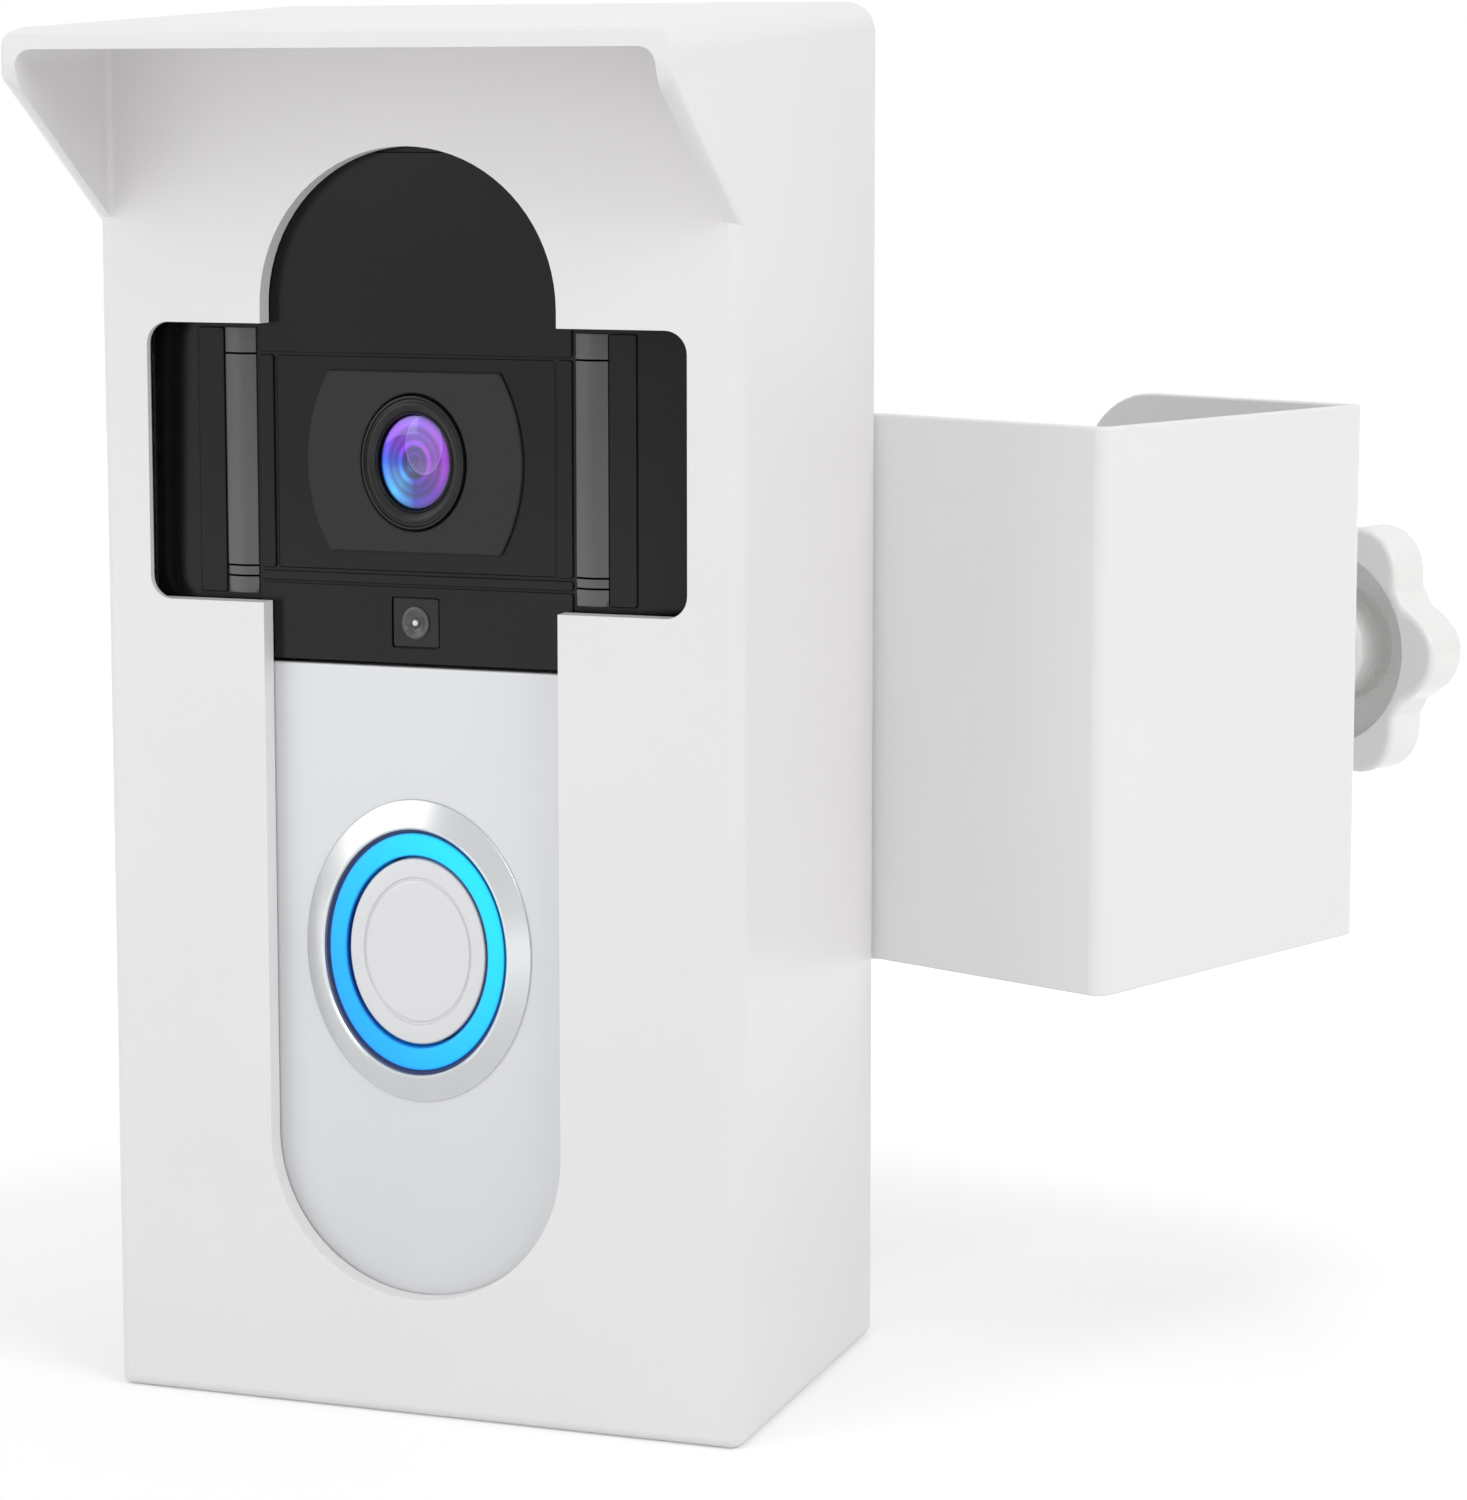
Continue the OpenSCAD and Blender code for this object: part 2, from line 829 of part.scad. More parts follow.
module camera_trim() {
    color([0.2, 0.2, 0.2])
        slab(face_y + panel_drop - trim_t, face_y + panel_drop)
            translate([bell_x, camera_z])
                difference() {
                    intersection() {
                        circle(d = trim_w);
                        square([trim_w, trim_h], center = true);
                    }
                    oval(lens_w + lens_gap, lens_h + lens_gap);
                }
}

module lens_bezel() {
    color([0.05, 0.05, 0.05])
        slab(lens_y, face_y + bell_wall + bezel_stand)
            translate([bell_x, camera_z])
                difference() {
                    oval(lens_w, lens_h);
                    oval(glass_w + lens_gap, glass_h + lens_gap);
                }
}

module lens_glass() {
    color([0.3, 0.2, 0.6])
        slab(glass_y, glass_y + glass_t)
            translate([bell_x, camera_z])
                oval(glass_w, glass_h);
}

module camera_module() {
    module_y = face_y + bell_wall + module_stand;
    color("dimgray") {
        bar(bell_x, camera_z, glass_w / 2 - barrel_gap, glass_y + glass_t, module_y);
        slab(module_y - eps, board_y)
            translate([bell_x, camera_z])
                square([2 * module_r, 2 * module_r], center = true);
    }
}

module infrared_windows() {
    color([0.3, 0.3, 0.3])
        for (side = [-1, 1])
            slab(face_y, face_y + window_t)
                translate([bell_x + side * (infrared_x + infrared_w / 2), panel_z])
                    square([infrared_w, infrared_h], center = true);
}

module sensor_window() {
    color([0.12, 0.12, 0.12]) {
        slab(face_y, face_y + window_t)
            translate([bell_x, sensor_z])
                square(sensor_w, center = true);
        bar(bell_x, sensor_z, sensor_r, face_y - sensor_proud, face_y + eps);
    }
}

module faceplate() {
    color([0.83, 0.84, 0.85])
        difference() {
            cover_shell(bell_bottom, split_z - part_gap, bell_wall, bell_wall);
            slab(face_y - cut, face_y + bell_wall + cut)
                translate([bell_x, button_z])
                    oval(bezel_body_w + part_gap, bezel_body_h + part_gap);
            translate([bell_x, cover_y - lock_inset, bell_bottom - cut])
                cylinder(r = lock_hole_r, h = bell_wall + 2 * cut);
        }
}

module button_bezel() {
    color([0.9, 0.9, 0.92])
        translate([bell_x, 0, button_z])
            difference() {
                union() {
                    slab(face_y - bezel_lift, face_y)
                        oval(bezel_w, bezel_h);
                    slab(face_y - eps, ring_back_y + bezel_tail)
                        oval(bezel_body_w, bezel_body_h);
                }
                slab(face_y - bezel_lift - cut, ring_back_y + bezel_tail + cut)
                    oval(ring_w + part_gap, ring_h + part_gap);
            }
}

module light_ring() {
    color([0.05, 0.65, 1])
        translate([bell_x, 0, button_z])
            slab(button_face_y - ring_proud, ring_back_y)
                oval_ring(ring_w, ring_h, ring_band, ring_band_h);
}

module button_cap() {
    groove_out_w = cap_w - 2 * groove_inset;
    groove_out_h = cap_h - 2 * groove_inset_h;
    color([0.85, 0.86, 0.87])
        translate([bell_x, 0, button_z]) {
            difference() {
                slab(button_face_y, cap_flange_y + eps)
                    oval(cap_w, cap_h);
                slab(button_face_y - cut, button_face_y + groove_w)
                    oval_ring(groove_out_w, groove_out_h, groove_w, groove_w);
            }
            slab(cap_flange_y, cap_flange_y + cap_flange_t)
                oval(cap_w + 2 * cap_flange_lip, cap_h + 2 * cap_flange_lip);
            bar(0, 0, stem_r, cap_flange_y + cap_flange_t - eps,
                board_y - switch_h - button_travel - part_gap);
        }
}

module button_switch() {
    color("gray")
        translate([bell_x, 0, button_z]) {
            slab(board_y - switch_base_t, board_y)
                square(switch_w, center = true);
            bar(0, 0, switch_tip_r, board_y - switch_h, board_y - switch_base_t + eps);
        }
}

module speaker() {
    color("gray")
        bar(bell_x, bell_bottom + speaker_rise, speaker_r, board_y - speaker_t, board_y);
}

module security_screw() {
    color("silver")
        translate([bell_x, cover_y - lock_inset, bell_bottom - lock_stand])
            cylinder(r = lock_screw_r, h = lock_screw_l);
}

housing();
back_plate();
plate_screws();
riser();
riser_screws();
door_bracket();
bracket_bolts();
bracket_nuts();
arm_pad();
clamp_nut();
clamp_screw();
clamp_knob();
knob_cap();
pressure_foot();
foot_pad();
foot_clip();
wall_plate();
wall_plate_screws();
rear_case();
battery();
circuit_board();
case_gasket();
front_cover();
camera_panel();
camera_trim();
lens_bezel();
lens_glass();
camera_module();
infrared_windows();
sensor_window();
faceplate();
button_bezel();
light_ring();
button_cap();
button_switch();
speaker();
security_screw();
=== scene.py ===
import math

import bmesh
import bpy
from mathutils import Matrix, Vector

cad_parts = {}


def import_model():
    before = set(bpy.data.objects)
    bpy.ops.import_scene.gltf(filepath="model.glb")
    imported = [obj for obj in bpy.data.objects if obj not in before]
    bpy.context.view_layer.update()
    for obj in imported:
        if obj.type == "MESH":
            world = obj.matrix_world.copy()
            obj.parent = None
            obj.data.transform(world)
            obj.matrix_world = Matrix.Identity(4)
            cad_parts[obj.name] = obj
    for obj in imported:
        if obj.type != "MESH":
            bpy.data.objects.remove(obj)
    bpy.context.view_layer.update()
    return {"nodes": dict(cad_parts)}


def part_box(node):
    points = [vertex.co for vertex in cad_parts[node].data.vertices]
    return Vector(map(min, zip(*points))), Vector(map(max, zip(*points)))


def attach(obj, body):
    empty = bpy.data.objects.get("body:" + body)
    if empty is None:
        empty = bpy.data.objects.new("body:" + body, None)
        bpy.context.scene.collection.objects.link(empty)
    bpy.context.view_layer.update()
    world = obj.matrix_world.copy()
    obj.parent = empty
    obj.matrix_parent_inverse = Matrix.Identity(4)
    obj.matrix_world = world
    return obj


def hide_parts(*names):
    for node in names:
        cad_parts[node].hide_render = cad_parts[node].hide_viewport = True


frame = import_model()

MM = 0.001


def low(node, axis):
    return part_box(node)[0][axis]


def high(node, axis):
    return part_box(node)[1][axis]


def middle(node, axis):
    return (low(node, axis) + high(node, axis)) / 2


def span(node, axis):
    return high(node, axis) - low(node, axis)


X, Y, Z = 0, 1, 2
POINT = 1e-7  # a ring smaller than this is a single point

# ---------------------------------------------------------------- shaders


def new_material(name):
    mat = bpy.data.materials.new(name)
    mat.use_nodes = True
    return mat, mat.node_tree.nodes, mat.node_tree.links


def shader_of(mat):
    return mat.node_tree.nodes["Principled BSDF"]


def object_coords(mat, scale=(1, 1, 1), centre=(0, 0, 0)):
    nodes, links = mat.node_tree.nodes, mat.node_tree.links
    coord = nodes.new("ShaderNodeTexCoord")
    mapping = nodes.new("ShaderNodeMapping")
    mapping.inputs["Scale"].default_value = scale
    mapping.inputs["Location"].default_value = [-c * s for c, s in zip(centre, scale)]
    links.new(coord.outputs["Object"], mapping.inputs["Vector"])
    return mapping.outputs["Vector"]


def noise(mat, vector, scale, detail=3.0, roughness=0.5):
    nodes, links = mat.node_tree.nodes, mat.node_tree.links
    tex = nodes.new("ShaderNodeTexNoise")
    tex.inputs["Scale"].default_value = scale
    tex.inputs["Detail"].default_value = detail
    tex.inputs["Roughness"].default_value = roughness
    links.new(vector, tex.inputs["Vector"])
    return tex.outputs["Fac"]


def ramp(mat, factor, stops, interpolation="LINEAR"):
    """Colour ramp from a list of (position, (r, g, b))."""
    nodes, links = mat.node_tree.nodes, mat.node_tree.links
    node = nodes.new("ShaderNodeValToRGB")
    node.color_ramp.interpolation = interpolation
    elements = node.color_ramp.elements
    while len(elements) < len(stops):
        elements.new(1.0)
    for element, (position, colour) in zip(elements, stops):
        element.position = position
        element.color = (*colour, 1)
    links.new(factor, node.inputs["Fac"])
    return node.outputs["Color"]


def scaled(mat, factor, lowest, highest):
    """Map a 0 to 1 value to a range."""
    nodes, links = mat.node_tree.nodes, mat.node_tree.links
    node = nodes.new("ShaderNodeMapRange")
    node.inputs["To Min"].default_value = lowest
    node.inputs["To Max"].default_value = highest
    links.new(factor, node.inputs["Value"])
    return node.outputs["Result"]


def maths(mat, operation, a, b=None):
    nodes, links = mat.node_tree.nodes, mat.node_tree.links
    node = nodes.new("ShaderNodeMath")
    node.operation = operation
    for socket, value in zip(node.inputs, (a, b)):
        if value is None:
            continue
        if isinstance(value, (int, float)):
            socket.default_value = value
        else:
            links.new(value, socket)
    return node.outputs["Value"]


def multiplied(mat, a, b):
    nodes, links = mat.node_tree.nodes, mat.node_tree.links
    mix = nodes.new("ShaderNodeMix")
    mix.data_type = "RGBA"
    mix.blend_type = "MULTIPLY"
    mix.inputs["Factor"].default_value = 1.0
    links.new(a, mix.inputs["A"])
    links.new(b, mix.inputs["B"])
    return mix.outputs["Result"]


def length_of(mat, x, z):
    return maths(mat, "SQRT", maths(mat, "ADD", maths(mat, "MULTIPLY", x, x),
                                    maths(mat, "MULTIPLY", z, z)))


def bump(mat, height, strength, distance):
    nodes, links = mat.node_tree.nodes, mat.node_tree.links
    node = nodes.new("ShaderNodeBump")
    node.inputs["Strength"].default_value = strength
    node.inputs["Distance"].default_value = distance
    links.new(height, node.inputs["Height"])
    return node.outputs["Normal"]


def finish_material(name, colour, roughness, metallic=0.0, tint=0.03, tint_scale=60.0,
                    grain_scale=2500.0, grain=0.05, grain_depth=0.00002, rough_spread=0.05,
                    coat=0.0, coat_roughness=0.05, specular=0.5, stretch=(1, 1, 1)):
    """A plain finish with faint mottling of colour and gloss and a fine surface grain."""
    mat, _, links = new_material(name)
    shader = shader_of(mat)
    vector = object_coords(mat, scale=stretch)
    mottle = noise(mat, vector, tint_scale)
    darker = [max(0.0, c * (1 - tint)) for c in colour]
    lighter = [min(1.0, c * (1 + tint)) for c in colour]
    links.new(ramp(mat, mottle, [(0.3, darker), (0.7, lighter)]), shader.inputs["Base Color"])
    links.new(scaled(mat, mottle, roughness - rough_spread, roughness + rough_spread),
              shader.inputs["Roughness"])
    fine = noise(mat, vector, grain_scale, detail=2.0)
    links.new(bump(mat, fine, grain, grain_depth), shader.inputs["Normal"])
    shader.inputs["Metallic"].default_value = metallic
    shader.inputs["Specular IOR Level"].default_value = specular
    shader.inputs["Coat Weight"].default_value = coat
    shader.inputs["Coat Roughness"].default_value = coat_roughness
    return mat


def housing_white():
    return finish_material("housing_white", (0.80, 0.79, 0.785), 0.42, tint=0.012, tint_scale=45,
                           grain_scale=1900, grain=0.12, grain_depth=0.00003)


def bracket_white():
    return finish_material("bracket_white", (0.83, 0.82, 0.825), 0.4, tint=0.01, tint_scale=35,
                           grain_scale=1200, grain=0.10, grain_depth=0.00003)


def knob_white():
    return finish_material("knob_white", (0.84, 0.84, 0.83), 0.28, tint=0.012, grain_scale=1500,
                           grain=0.05, coat=0.15, coat_roughness=0.2)


def zinc():
    return finish_material("zinc_steel", (0.62, 0.63, 0.65), 0.3, metallic=1.0, tint=0.08,
                           tint_scale=300, grain=0.1, stretch=(1, 1, 6))


def dark_plastic():
    return finish_material("dark_plastic", (0.035, 0.035, 0.038), 0.5, tint=0.1, grain=0.2)


def soft_rubber(name="rubber", colour=(0.03, 0.03, 0.032)):
    return finish_material(name, colour, 0.75, tint=0.15, grain_scale=900, grain=0.35,
                           grain_depth=0.0001)


def black_gloss():
    return finish_material("black_gloss", (0.005, 0.005, 0.0055), 0.2, tint=0.2, grain_scale=700,
                           grain=0.02, rough_spread=0.03, coat=0.02, coat_roughness=0.06,
                           specular=0.2)


def trim_black():
    return finish_material("trim_black", (0.013, 0.013, 0.014), 0.55, tint=0.12, tint_scale=500,
                           grain_scale=2600, grain=0.35, grain_depth=0.00006, specular=0.3)


def lens_black():
    return finish_material("lens_black", (0.008, 0.008, 0.009), 0.32, tint=0.2, grain_scale=1500,
                           grain=0.08, specular=0.3)


def smoked_window():
    return finish_material("smoked_window", (0.045, 0.045, 0.047), 0.22, tint=0.25, tint_scale=25,
                           grain=0.02, coat=0.4, coat_roughness=0.1, stretch=(8, 8, 1))


def satin_silver():
    return finish_material("satin_silver", (0.66, 0.67, 0.69), 0.4, metallic=0.25, tint=0.012,
                           tint_scale=20, grain_scale=1800, grain=0.10, grain_depth=0.00002,
                           stretch=(4, 4, 1))


def bezel_metal():
    return finish_material("bezel_metal", (0.60, 0.61, 0.625), 0.26, metallic=0.75, tint=0.02,
                           tint_scale=40, grain_scale=1600, grain=0.05)


def cap_silver():
    return finish_material("cap_silver", (0.68, 0.685, 0.70), 0.42, metallic=0.2, tint=0.01,
                           tint_scale=30, grain_scale=1800, grain=0.08)


# ---------------------------------------------------------------- meshes


def to_object(name, bm, material, smooth_angle=35):
    bmesh.ops.recalc_face_normals(bm, faces=bm.faces)
    mesh = bpy.data.meshes.new(name)
    bm.to_mesh(mesh)
    bm.free()
    obj = bpy.data.objects.new(name, mesh)
    bpy.context.collection.objects.link(obj)
    mesh.shade_smooth()
    mesh.set_sharp_from_angle(angle=math.radians(smooth_angle))
    if material:
        mesh.materials.append(material)
    return obj


def weighted(obj):
    modifier = obj.modifiers.new("weighted", "WEIGHTED_NORMAL")
    modifier.keep_sharp = True
    return obj


def arc(centre, radius, start, end, steps):
    """Points of an arc, with angles in degrees."""
    points = []
    for i in range(steps + 1):
        a = math.radians(start + (end - start) * i / steps)
        points.append((centre[0] + radius * math.cos(a), centre[1] + radius * math.sin(a)))
    return points


def rounded_rect(cx, cz, w, h, r, steps=6):
    points = []
    for sx, sz, start in ((1, 1, 0), (-1, 1, 90), (-1, -1, 180), (1, -1, 270)):
        points += arc((cx + sx * (w / 2 - r), cz + sz * (h / 2 - r)), r, start, start + 90, steps)
    return points


def oval(cx, cz, w, h, steps=96):
    turn = 2 * math.pi / steps
    return [(cx + w / 2 * math.cos(i * turn), cz + h / 2 * math.sin(i * turn))
            for i in range(steps)]


def prism(points, low_end, high_end, axis="y"):
    """A closed solid from an outline drawn across an axis and its two ends along that axis."""
    bm = bmesh.new()
    place = {"x": lambda a, b, t: (t, a, b), "y": lambda a, b, t: (a, t, b),
             "z": lambda a, b, t: (a, b, t)}[axis]
    near = [bm.verts.new(place(a, b, low_end)) for a, b in points]
    far = [bm.verts.new(place(a, b, high_end)) for a, b in points]
    bm.faces.new(near)
    bm.faces.new(far)
    count = len(points)
    for i in range(count):
        j = (i + 1) % count
        bm.faces.new((near[i], near[j], far[j], far[i]))
    bmesh.ops.recalc_face_normals(bm, faces=bm.faces)
    return bm


def bevel_sharp(obj, width, segments=3, angle=40):
    modifier = obj.modifiers.new("edge", "BEVEL")
    modifier.width = width
    modifier.segments = segments
    modifier.limit_method = "ANGLE"
    modifier.angle_limit = math.radians(angle)
    modifier.use_clamp_overlap = True
    modifier.miter_outer = "MITER_ARC"
    return obj


def plate(name, points, y0, y1, material, edge=0.2 * MM, segments=2):
    """A slab facing -Y with softened edges."""
    obj = to_object(name, prism(points, y0, y1), material)
    bevel_sharp(obj, edge, segments)
    return weighted(obj)


def cutter(name, bm):
    return to_object(name, bm, None)


def apply_modifiers(obj):
    graph = bpy.context.evaluated_depsgraph_get()
    mesh = bpy.data.meshes.new_from_object(obj.evaluated_get(graph))
    old = obj.data
    obj.modifiers.clear()
    obj.data = mesh
    bpy.data.meshes.remove(old)
    return obj


def carve(obj, tools, operation="DIFFERENCE"):
    """Cut every tool out of an object, or join it on, and throw the tools away."""
    for tool in tools:
        modifier = obj.modifiers.new("cut", "BOOLEAN")
        modifier.operation = operation
        modifier.object = tool
        modifier.solver = "EXACT"
        bpy.context.view_layer.update()
        apply_modifiers(obj)
        bpy.data.objects.remove(tool)
    return obj


def smooth_by_angle(obj, angle=35):
    obj.data.shade_smooth()
    obj.data.set_sharp_from_angle(angle=math.radians(angle))
    return obj


def oval_loft(name, centre, levels, material, steps=120, smooth_angle=35, closed=True):
    """Loft upright ovals given as (half height, width over height, y), closed round or at its ends."""
    bm = bmesh.new()
    cx, cz = centre
    turn = 2 * math.pi / steps
    rings = []
    for half, ratio, y in levels:
        if half < POINT:
            rings.append([bm.verts.new((cx, y, cz))])
            continue
        rings.append([bm.verts.new((cx + half * ratio * math.cos(i * turn), y,
                                    cz + half * math.sin(i * turn)))
                      for i in range(steps)])
    pairs = list(zip(rings, rings[1:]))
    looped = closed and len(rings[0]) > 1 and len(rings[-1]) > 1
    if looped:
        pairs.append((rings[-1], rings[0]))
    for a, b in pairs:
        for i in range(steps):
            j = (i + 1) % steps
            if len(a) == 1:
                bm.faces.new((a[0], b[i], b[j]))
            elif len(b) == 1:
                bm.faces.new((a[i], b[0], a[j]))
            else:
                bm.faces.new((a[i], b[i], b[j], a[j]))
    if not looped:
        cap_ends(bm, rings)
    return to_object(name, bm, material, smooth_angle)


def turned(name, profile, centre, ratio, material, steps=96, smooth_angle=35, closed=True):
    """A loft whose profile is [(half height, y)] and whose ratio is the same all along."""
    levels = [(radius, ratio, y) for radius, y in profile]
    return oval_loft(name, centre, levels, material, steps, smooth_angle, closed)


def cap_ends(bm, rings):
    """Close each end of a loft that doesn't already run to a point."""
    for ring in (rings[0], rings[-1]):
        if len(ring) > 1:
            bm.faces.new(ring)


def ride(obj, body, slot, *nodes):
    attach(obj, body)
    if nodes:
        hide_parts(*nodes)
    return obj


# ---------------------------------------------------------------- housing

WALL = 2.2 * MM
CHEEK = 1.7 * MM
HOOD_OUT = 20 * MM
ROOF_FALL = 3.7 * MM
RIM_SIDE = 5.3 * MM
CHEEK_DROP = 23.1 * MM
SLOT_W = 33.2 * MM
SLOT_X = -0.5 * MM
SLOT_BOTTOM = 12.8 * MM
SLOT_H = 121.6 * MM
WING_W = 60.5 * MM
WING_H = 29.3 * MM
WING_BOTTOM = 86.7 * MM
WING_R = 2.4 * MM
WING_EDGE_T = 0.8 * MM
WING_LAND = 2 * MM
BOSS_R = 3.1 * MM
BOSS_BORE = 1.2 * MM
BOSS_DEPTH = 9 * MM
BOSS_ROOT = 0.2 * MM
SCREW_HEAD_R = 2.9 * MM

side_x = high("housing", X)
rim_y = low("housing", Y)
back_y = high("housing", Y)
front_y = rim_y + HOOD_OUT
inner_y = front_y + WALL
base_z = 0.0
roof_back_z = 150 * MM
rim_top_z = roof_back_z - ROOF_FALL
rim_low_z = rim_top_z - RIM_SIDE
cheek_z = roof_back_z - CHEEK_DROP


def roof_z(y):
    return roof_back_z - ROOF_FALL * (back_y - y) / (back_y - rim_y)


def window_points():
    """The window's outline, from the foot of the slot round to its head and back."""
    r = SLOT_W / 2
    wing_x = WING_W / 2
    low_z, high_z = WING_BOTTOM, WING_BOTTOM + WING_H
    points = arc((SLOT_X, SLOT_BOTTOM + r), r, 180, 360, 40)
    points += [(SLOT_X + r, low_z)]
    points += arc((wing_x - WING_R, low_z + WING_R), WING_R, -90, 0, 8)
    points += arc((wing_x - WING_R, high_z - WING_R), WING_R, 0, 90, 8)
    points += [(SLOT_X + r, high_z)]
    points += arc((SLOT_X, SLOT_BOTTOM + SLOT_H - r), r, 0, 180, 40)
    points += [(SLOT_X - r, high_z)]
    points += arc((-wing_x + WING_R, high_z - WING_R), WING_R, 90, 180, 8)
    points += arc((-wing_x + WING_R, low_z + WING_R), WING_R, 180, 270, 8)
    points += [(SLOT_X - r, low_z)]
    return points


def edge_weights(bm, rule):
    layer = bm.edges.layers.float.get("bevel_weight_edge") or \
        bm.edges.layers.float.new("bevel_weight_edge")
    for edge in bm.edges:
        a, b = (v.co for v in edge.verts)
        edge[layer] = rule(a, b)


def weighted_bevel(obj, width, segments):
    modifier = obj.modifiers.new("round", "BEVEL")
    modifier.width = width
    modifier.segments = segments
    modifier.limit_method = "WEIGHT"
    modifier.use_clamp_overlap = False
    return obj


def housing_body():
    """The outer block of the housing and its hood, rounded along every edge."""
    profile = [(front_y, base_z), (back_y, base_z), (back_y, roof_back_z), (rim_y, rim_top_z),
               (rim_y, rim_low_z), (front_y, cheek_z)]
    bm = prism(profile, -side_x, side_x, axis="x")
    biggest = 3.0 * MM
    near = 1e-6

    def rule(a, b):
        along_x = abs(a.x - b.x) > near
        on_top = min(a.z, b.z) > rim_low_z + near
        if along_x:
            at_front = abs(a.y - rim_y) < near
            if at_front:
                return (0.8 if on_top else 2.0) * MM / biggest
            if abs(a.y - front_y) < near and a.z > cheek_z - near:
                return 0.0
            return 1.0 if on_top else 1.2 * MM / biggest
        if on_top and abs(a.y - b.y) > near:
            return 1.0
        at_rim = abs(a.y - rim_y) < near and abs(b.y - rim_y) < near
        on_diagonal = abs(a.y - b.y) > near and min(a.z, b.z) > cheek_z - near
        if at_rim or on_diagonal:
            return 0.7 * MM / biggest
        upright = abs(a.z - b.z) > near and abs(a.y - b.y) < near
        if upright and abs(a.y - front_y) < near:
            return 2.3 * MM / biggest
        return 1.2 * MM / biggest

    edge_weights(bm, rule)
    obj = to_object("housing_shell", bm, housing_white())
    weighted_bevel(obj, biggest, 6)
    bpy.context.view_layer.update()
    return apply_modifiers(obj)


def housing_hollows():
    gap = 1 * MM
    inside = prism([(inner_y, WALL), (back_y + gap, WALL), (back_y + gap, roof_z(back_y + gap) - WALL),
                    (inner_y, roof_z(inner_y) - WALL)],
                   -side_x + WALL, side_x - WALL, axis="x")
    far_y = rim_y - gap
    hood = prism([(far_y, cheek_z - 30 * MM), (front_y, cheek_z - 30 * MM),
                  (front_y, roof_z(front_y) - WALL), (far_y, roof_z(far_y) - WALL)],
                 -side_x + CHEEK, side_x - CHEEK, axis="x")
    inner_r = 1.8 * MM

    def hood_rule(a, b):
        along_y = abs(a.y - b.y) > 1e-6
        high_up = min(a.z, b.z) > cheek_z
        at_wall = abs(a.y - front_y) < 1e-6 and abs(b.y - front_y) < 1e-6
        if along_y and high_up:
            return 1.0
        if at_wall and high_up:
            return 0.5
        if at_wall and abs(a.z - b.z) > 1e-6:
            return 0.35
        return 0.0

    edge_weights(hood, hood_rule)
    hood_tool = cutter("hood_hollow", hood)
    weighted_bevel(hood_tool, inner_r, 5)
    bpy.context.view_layer.update()
    apply_modifiers(hood_tool)
    window = prism(window_points(), front_y - gap, inner_y + gap)
    relief = prism(rounded_rect(0, WING_BOTTOM + WING_H / 2, WING_W + 2 * WING_LAND, WING_H, WING_R),
                   front_y + WING_EDGE_T, inner_y + gap)
    return [cutter("inside", inside), hood_tool, cutter("window", window), cutter("relief", relief)]


def housing():
    obj = housing_body()
    carve(obj, housing_hollows())
    bevel_sharp(obj, 0.35 * MM, segments=3, angle=50)
    bpy.context.view_layer.update()
    apply_modifiers(obj)
    smooth_by_angle(obj, 40)
    weighted(obj)
    y0, y1 = inner_y - BOSS_ROOT, low("back_plate", Y)
    profile = [(BOSS_R, y0), (BOSS_R, y1), (BOSS_BORE, y1), (BOSS_BORE, y1 - BOSS_DEPTH),
               (0, y1 - BOSS_DEPTH)]
    corners = [(side, node_z) for side in (-1, 1)
               for node_z in (low("plate_screws", Z), high("plate_screws", Z))]
    for i, (side, node_z) in enumerate(corners):
        toward = 1 if node_z > roof_back_z / 2 else -1
        centre = (side * (high("plate_screws", X) - SCREW_HEAD_R), node_z - toward * SCREW_HEAD_R)
        boss = turned(f"housing_boss_{i}", profile, centre, 1.0, obj.data.materials[0], steps=32)
        ride(boss, "root", "white_plastic")
    return ride(obj, "root", "white_plastic", "housing")


# ---------------------------------------------------------------- doorbell

bell_x = middle("button_bezel", X)
face_y = low("front_cover", Y)
bell_bottom = low("faceplate", Z)
bell_top = high("front_cover", Z)
split_z = low("front_cover", Z)
cover_y = high("front_cover", Y)
bell_half = span("front_cover", X) / 2
FLAT_HALF = 25 * MM
SIDE_FALL = 1.5 * MM
BELL_R = 7 * MM
GROOVE = 0.28 * MM
STRIP_SLIT = 0.22 * MM
RING_BAND = 2.1 * MM
RING_BAND_H = 2.6 * MM
TRIM_SIDE_R = 19.3 * MM
STRIP_SLITS = [89.1 * MM, 90.2 * MM, 112.6 * MM]
RELIEF = 0.35 * MM


def cover_body(name, z0, z1, material, face, top_round):
    """A front cover: flat in the middle with bevelled sides, rounded where it meets the case."""
    plan = [(bell_x - bell_half, cover_y), (bell_x - bell_half, face + SIDE_FALL),
            (bell_x - FLAT_HALF, face)]
    plan += [(bell_x + FLAT_HALF, face), (bell_x + bell_half, face + SIDE_FALL),
             (bell_x + bell_half, cover_y)]
    obj = to_object(name, prism(plan, z0, z1, axis="z"), material)
    far = 5 * MM
    corner_z = z1 if top_round else z0
    towards = -1 if top_round else 1
    centre_z = corner_z + towards * BELL_R
    outline = []
    if top_round:
        outline += arc((bell_x + bell_half - BELL_R, centre_z), BELL_R, 0, 90, 10)
        outline += arc((bell_x - bell_half + BELL_R, centre_z), BELL_R, 90, 180, 10)
        outline += [(bell_x - bell_half, z0 - far), (bell_x + bell_half, z0 - far)]
    else:
        outline += [(bell_x + bell_half, z1 + far), (bell_x - bell_half, z1 + far)]
        outline += arc((bell_x - bell_half + BELL_R, centre_z), BELL_R, 180, 270, 10)
        outline += arc((bell_x + bell_half - BELL_R, centre_z), BELL_R, 270, 360, 10)
    carve(obj, [cutter("outline", prism(outline, face - far, cover_y + far))], "INTERSECT")
    return obj


